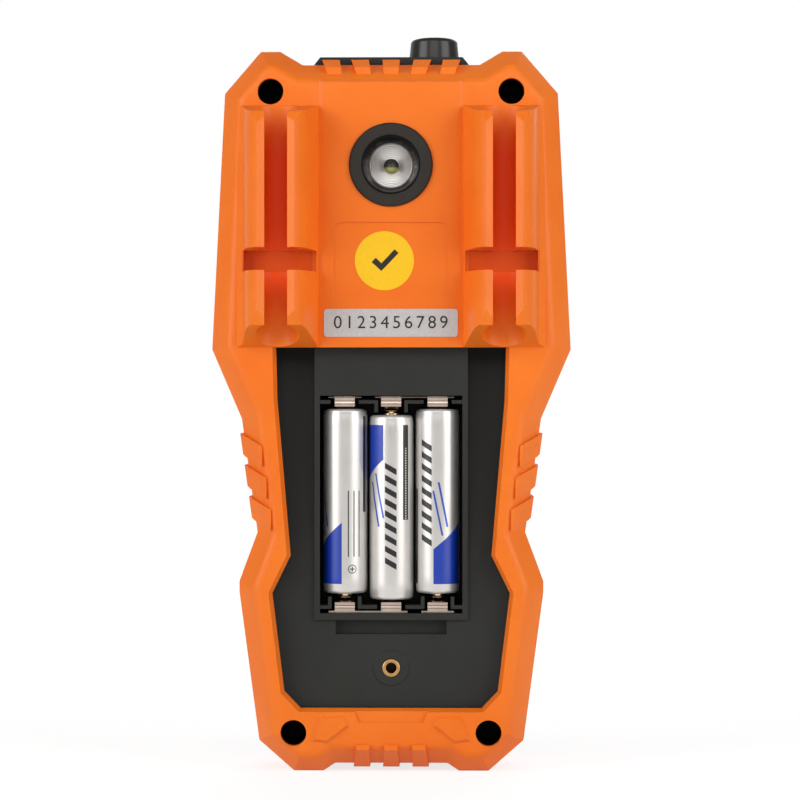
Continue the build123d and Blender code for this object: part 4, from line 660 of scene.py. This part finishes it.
def repeated_bars(name, sizes, material):
    """Little bars repeated round a circle of Radius, or along a row of pitch Step, laid flat in X and Z."""
    tree = bpy.data.node_groups.new(name, "GeometryNodeTree")
    given = {}
    for label, value in sizes.items():
        kind = "NodeSocketInt" if label == "Count" else "NodeSocketFloat"
        given[label] = (tree.interface.new_socket(label, in_out="INPUT", socket_type=kind).identifier, value)
    tree.interface.new_socket("Mesh", in_out="OUTPUT", socket_type="NodeSocketGeometry")
    inputs = tree.nodes.new("NodeGroupInput")

    def add(kind, links, **settings):
        node = tree.nodes.new(kind)
        for key, value in settings.items():
            setattr(node, key, value)
        for key, socket in links.items():
            tree.links.new(socket, node.inputs[key])
        return node

    size = add("ShaderNodeCombineXYZ", {"X": inputs.outputs["Length"], "Y": inputs.outputs["Width"]})
    size.inputs["Z"].default_value = INK_T
    bar = add("GeometryNodeMeshCube", {"Size": size.outputs[0]}).outputs["Mesh"]
    if "Radius" in sizes:
        round_it = {"Vertices": inputs.outputs["Count"], "Radius": inputs.outputs["Radius"]}
        path = add("GeometryNodeMeshCircle", round_it)
        place = add("GeometryNodeInputPosition", {}).outputs[0]
        turn = add("FunctionNodeAlignRotationToVector", {"Vector": place}, axis="X").outputs[0]
        points = {"Points": path.outputs["Mesh"], "Instance": bar, "Rotation": turn}
    else:
        offset = add("ShaderNodeCombineXYZ", {"X": inputs.outputs["Step"]}).outputs[0]
        path = add("GeometryNodeMeshLine", {"Count": inputs.outputs["Count"], "Offset": offset})
        points = {"Points": path.outputs["Mesh"], "Instance": bar}
    bars = add("GeometryNodeInstanceOnPoints", points).outputs[0]
    solid = add("GeometryNodeRealizeInstances", {"Geometry": bars}).outputs[0]
    inked = add("GeometryNodeSetMaterial", {"Geometry": solid})
    inked.inputs["Material"].default_value = material
    add("NodeGroupOutput", {0: inked.outputs[0]})

    holder = bpy.data.objects.new(name, bpy.data.meshes.new(name + "_seed"))
    bpy.context.scene.collection.objects.link(holder)
    modifier = holder.modifiers.new("bars", "NODES")
    modifier.node_group = tree
    for identifier, value in given.values():
        modifier[identifier] = value
    graph = bpy.context.evaluated_depsgraph_get()
    mesh = bpy.data.meshes.new_from_object(holder.evaluated_get(graph))
    bpy.data.objects.remove(holder)
    mesh.transform(Matrix.Rotation(math.radians(90), 4, "X"))
    return mesh


def print_bars(name, sizes, material, place):
    """A repeated row or ring of ink as a piece, standing on a place of the front."""
    mesh = repeated_bars(name, sizes, material)
    mesh.transform(Matrix.Translation(Vector(place) + Vector((0, INK_T / 2, 0))))
    mesh.name = name
    link(bpy.data.objects.new(name, mesh), "housing")


LIT = {"0": "abcdef", "1": "bc", "2": "abdeg", "5": "acdfg"}   # the segments of each figure
FIGURE_PITCH, FIGURE_W, FIGURE_H, SEGMENT_W = 11.0 * MM, 6.6 * MM, 13.6 * MM, 1.5 * MM
FIGURES_RISE = 2.5 * MM                                        # over the display's middle
SCALE_START, SCALE_STEP, SCALE_DROP = 21.0 * MM, 1.05 * MM, 11.0 * MM


def segment_figure(sign, x, z, width, height, bar):
    """Outlines of a seven-segment figure seen from the front, where +X is to the left."""
    w, h = width / 2, height / 2
    middles = {"a": (0, h), "g": (0, 0), "d": (0, -h)}
    middles |= {"b": (w, h / 2), "c": (w, -h / 2), "e": (-w, -h / 2), "f": (-w, h / 2)}
    outlines = []
    for segment in LIT[sign]:
        half = (w if segment in "agd" else h / 2) - 0.15 * bar
        shape = [(-half, 0), (bar / 2 - half, bar / 2), (half - bar / 2, bar / 2)]
        shape += [(half, 0), (half - bar / 2, -bar / 2), (bar / 2 - half, -bar / 2)]
        if segment not in "agd":
            shape = [(b, a) for a, b in shape]
        cx, cz = middles[segment]
        outlines.append([(x - cx - a, z + cz + b) for a, b in shape])
    return outlines


def make_display_reading():
    """A reading and a bar scale in liquid crystal on the display's glass."""
    low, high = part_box("display_glass")
    y, z = high.y, (low.z + high.z) / 2
    figures_z, scale_z = z + FIGURES_RISE, z - SCALE_DROP
    outlines = []
    for k, sign in enumerate("1205"):
        outlines += segment_figure(sign, (1.5 - k) * FIGURE_PITCH, figures_z, FIGURE_W, FIGURE_H, SEGMENT_W)
    outlines.append(rounded_rectangle(0.0, figures_z - FIGURE_H / 2, 1.3 * MM, 1.3 * MM, 0.2 * MM, steps=2))
    mesh_piece("display_reading", plate(outlines, y, INK_T, 1), LIQUID_CRYSTAL, "housing")
    row = {"Count": 41, "Step": -SCALE_STEP, "Length": 0.5 * MM, "Width": 1.8 * MM}
    print_bars("display_scale", row, LIQUID_CRYSTAL, (SCALE_START, y, scale_z))
    tens = {"Count": 5, "Step": -10 * SCALE_STEP, "Length": 0.5 * MM, "Width": 3.0 * MM}
    print_bars("display_scale_tens", tens, LIQUID_CRYSTAL, (SCALE_START, y + INK_T, scale_z - 0.6 * MM))


TICKS_R, NUMBERS_R = 21.0 * MM, 23.5 * MM   # round the knob's axis
WHITE_SOCKET = 2                            # the common socket's ring is white, the others' are red


def make_dial_prints():
    """Ticks and plain numbers round the range knob, rings round the sockets, marks on the keys."""
    ring = {"Count": 20, "Radius": TICKS_R, "Length": 1.6 * MM, "Width": 0.4 * MM}
    print_bars("dial_ticks", ring, WHITE_INK, (0, FACE_Y, KNOB_MIDDLE_Z))
    signs = []
    for k in range(10):
        angle = 2 * math.pi * k / 10
        signs.append((str(k), -NUMBERS_R * math.sin(angle), KNOB_MIDDLE_Z + NUMBERS_R * math.cos(angle)))
    for k in range(1, 5):
        low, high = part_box(f"jack_bush_{k}")
        x, z, flange = (low.x + high.x) / 2, (low.z + high.z) / 2, (high.x - low.x) / 2
        ink = WHITE_INK if k == WHITE_SOCKET else RED_INK
        ring = band(x, z, flange + 0.05 * MM, flange + 0.5 * MM, FACE_Y, INK_T, 1)
        mesh_piece(f"socket_ring_{k}", ring, ink, "housing")
        signs.append((str(5 - k), x, z + flange + 2.6 * MM))
    printed_numbers("front_numbers", signs, FACE_Y, 2.0 * MM, WHITE_INK, "housing", 1)
    for k in range(1, 5):
        low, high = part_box(f"key_{k}")
        sign = [(str(5 - k), (low.x + high.x) / 2, (low.z + high.z) / 2)]
        printed_numbers(f"key_number_{k}", sign, high.y, 2.4 * MM, BLACK_INK, body_of(f"key_{k}"), 1)
    for k in (1, 2):
        low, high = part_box(f"round_key_{k}")
        x, z = (low.x + high.x) / 2, (low.z + high.z) / 2
        mark = band(x, z, 1.1 * MM, 1.5 * MM, high.y, INK_T, 1, steps=40)
        mesh_piece(f"round_key_mark_{k}", mark, BLACK_INK, body_of(f"round_key_{k}"))


make_display_reading()
make_dial_prints()


# ---------------------------------------------------------------------------- floor, backdrop, light and camera
FLOOR_HALF = 0.8                      # m
FLOOR_GAP = 0.02 * MM                 # under the part
SHADOW_FULL, SHADOW_GONE = 0.2, 0.4   # m from the floor's middle


def pale_stage():
    """A floor that is seen as white with the part's faint shadow, and that lights the part as pale card would."""
    s = Shader("pale_floor")
    rays = s.tree.nodes.new("ShaderNodeLightPath")
    seen = s.math("MAXIMUM", rays.outputs["Is Camera Ray"], rays.outputs["Is Glossy Ray"])
    seen = s.math("MAXIMUM", seen, rays.outputs["Is Transmission Ray"])
    matte = s.add("BsdfDiffuse", {"Color": colour("f2f2f2")})
    glow = s.add("Emission", {"Color": colour("ffffff"), "Strength": 1.2})
    nearness = s.add("TexGradient", {"Vector": s.add("TexCoord", output=3)}, output=1, gradient_type="SPHERICAL")
    share = s.every(seen, s.ramp(nearness, 1 - SHADOW_FULL, 1 - SHADOW_GONE, 0.65, 1.0))
    s.add("OutputMaterial", {"Surface": s.add("MixShader", {0: share, 1: matte, 2: glow})})
    bm = bmesh.new()
    bmesh.ops.create_grid(bm, x_segments=1, y_segments=1, size=FLOOR_HALF)
    mesh = bpy.data.meshes.new("floor")
    bm.to_mesh(mesh)
    bm.free()
    mesh.materials.append(s.material)
    floor = bpy.data.objects.new("floor", mesh)
    floor.location.z = cad_box[0][2] - FLOOR_GAP
    bpy.context.scene.collection.objects.link(floor)


def world_light(strength):
    """White behind the part and in what it reflects of that side, dim behind the camera, and a soft fill."""
    world = bpy.data.worlds.new("studio")
    bpy.context.scene.world = world
    s = Shader("studio", world)
    rays = s.tree.nodes.new("ShaderNodeLightPath")
    seen = s.math("MAXIMUM", rays.outputs["Is Camera Ray"], rays.outputs["Is Transmission Ray"])
    toward = s.add("SeparateXYZ", {0: s.add("TexCoord", output=0)}, output=1)
    side = s.ramp(toward, 0.2, 0.9, 0.2, 1.0)
    mirrored = s.every(side, rays.outputs["Is Glossy Ray"])
    level = s.math("MAXIMUM", s.math("MAXIMUM", seen, mirrored), strength)
    s.add("OutputWorld", {"Surface": s.add("Background", {"Color": colour("ffffff"), "Strength": level})})


def softbox(name, place, target, width, height, power):
    lamp = bpy.data.lights.new(name, "AREA")
    lamp.shape = "RECTANGLE"
    lamp.size = width
    lamp.size_y = height
    lamp.energy = power
    holder = bpy.data.objects.new(name, lamp)
    holder.location = place
    holder.rotation_euler = (Vector(target) - Vector(place)).to_track_quat("-Z", "Y").to_euler()
    bpy.context.scene.collection.objects.link(holder)


def set_camera():
    """A long lens straight behind the meter, a little to the right of its middle."""
    eye, aim = Vector((13.0, -702.8, 87.2)) * MM, Vector((2.0, -2.8, 87.2)) * MM
    camera = bpy.data.cameras.new("camera")
    camera.lens = 133.3   # mm, as the sensor's width
    camera.sensor_width = 36.0
    holder = bpy.data.objects.new("camera", camera)
    holder.location = eye
    holder.rotation_euler = (aim - eye).to_track_quat("-Z", "Y").to_euler()
    bpy.context.scene.collection.objects.link(holder)
    bpy.context.scene.camera = holder


pale_stage()
world_light(0.12)
LAMPS = {   # place and size in metres, power in watts
    "left": ((-0.62, -0.45, 0.32), 0.5, 0.6, 3.9),
    "right": ((0.62, -0.45, 0.32), 0.5, 0.6, 3.6),
    "over": ((0.0, -0.8, 0.55), 0.6, 0.4, 1.7),
    "front": ((0.1, 0.8, 0.5), 0.8, 0.6, 4.5),
}
for name, (place, width, height, power) in LAMPS.items():
    softbox(name, place, (0.0, 0.0, 0.09), width, height, power)
set_camera()
bpy.context.scene.view_settings.view_transform = "Standard"
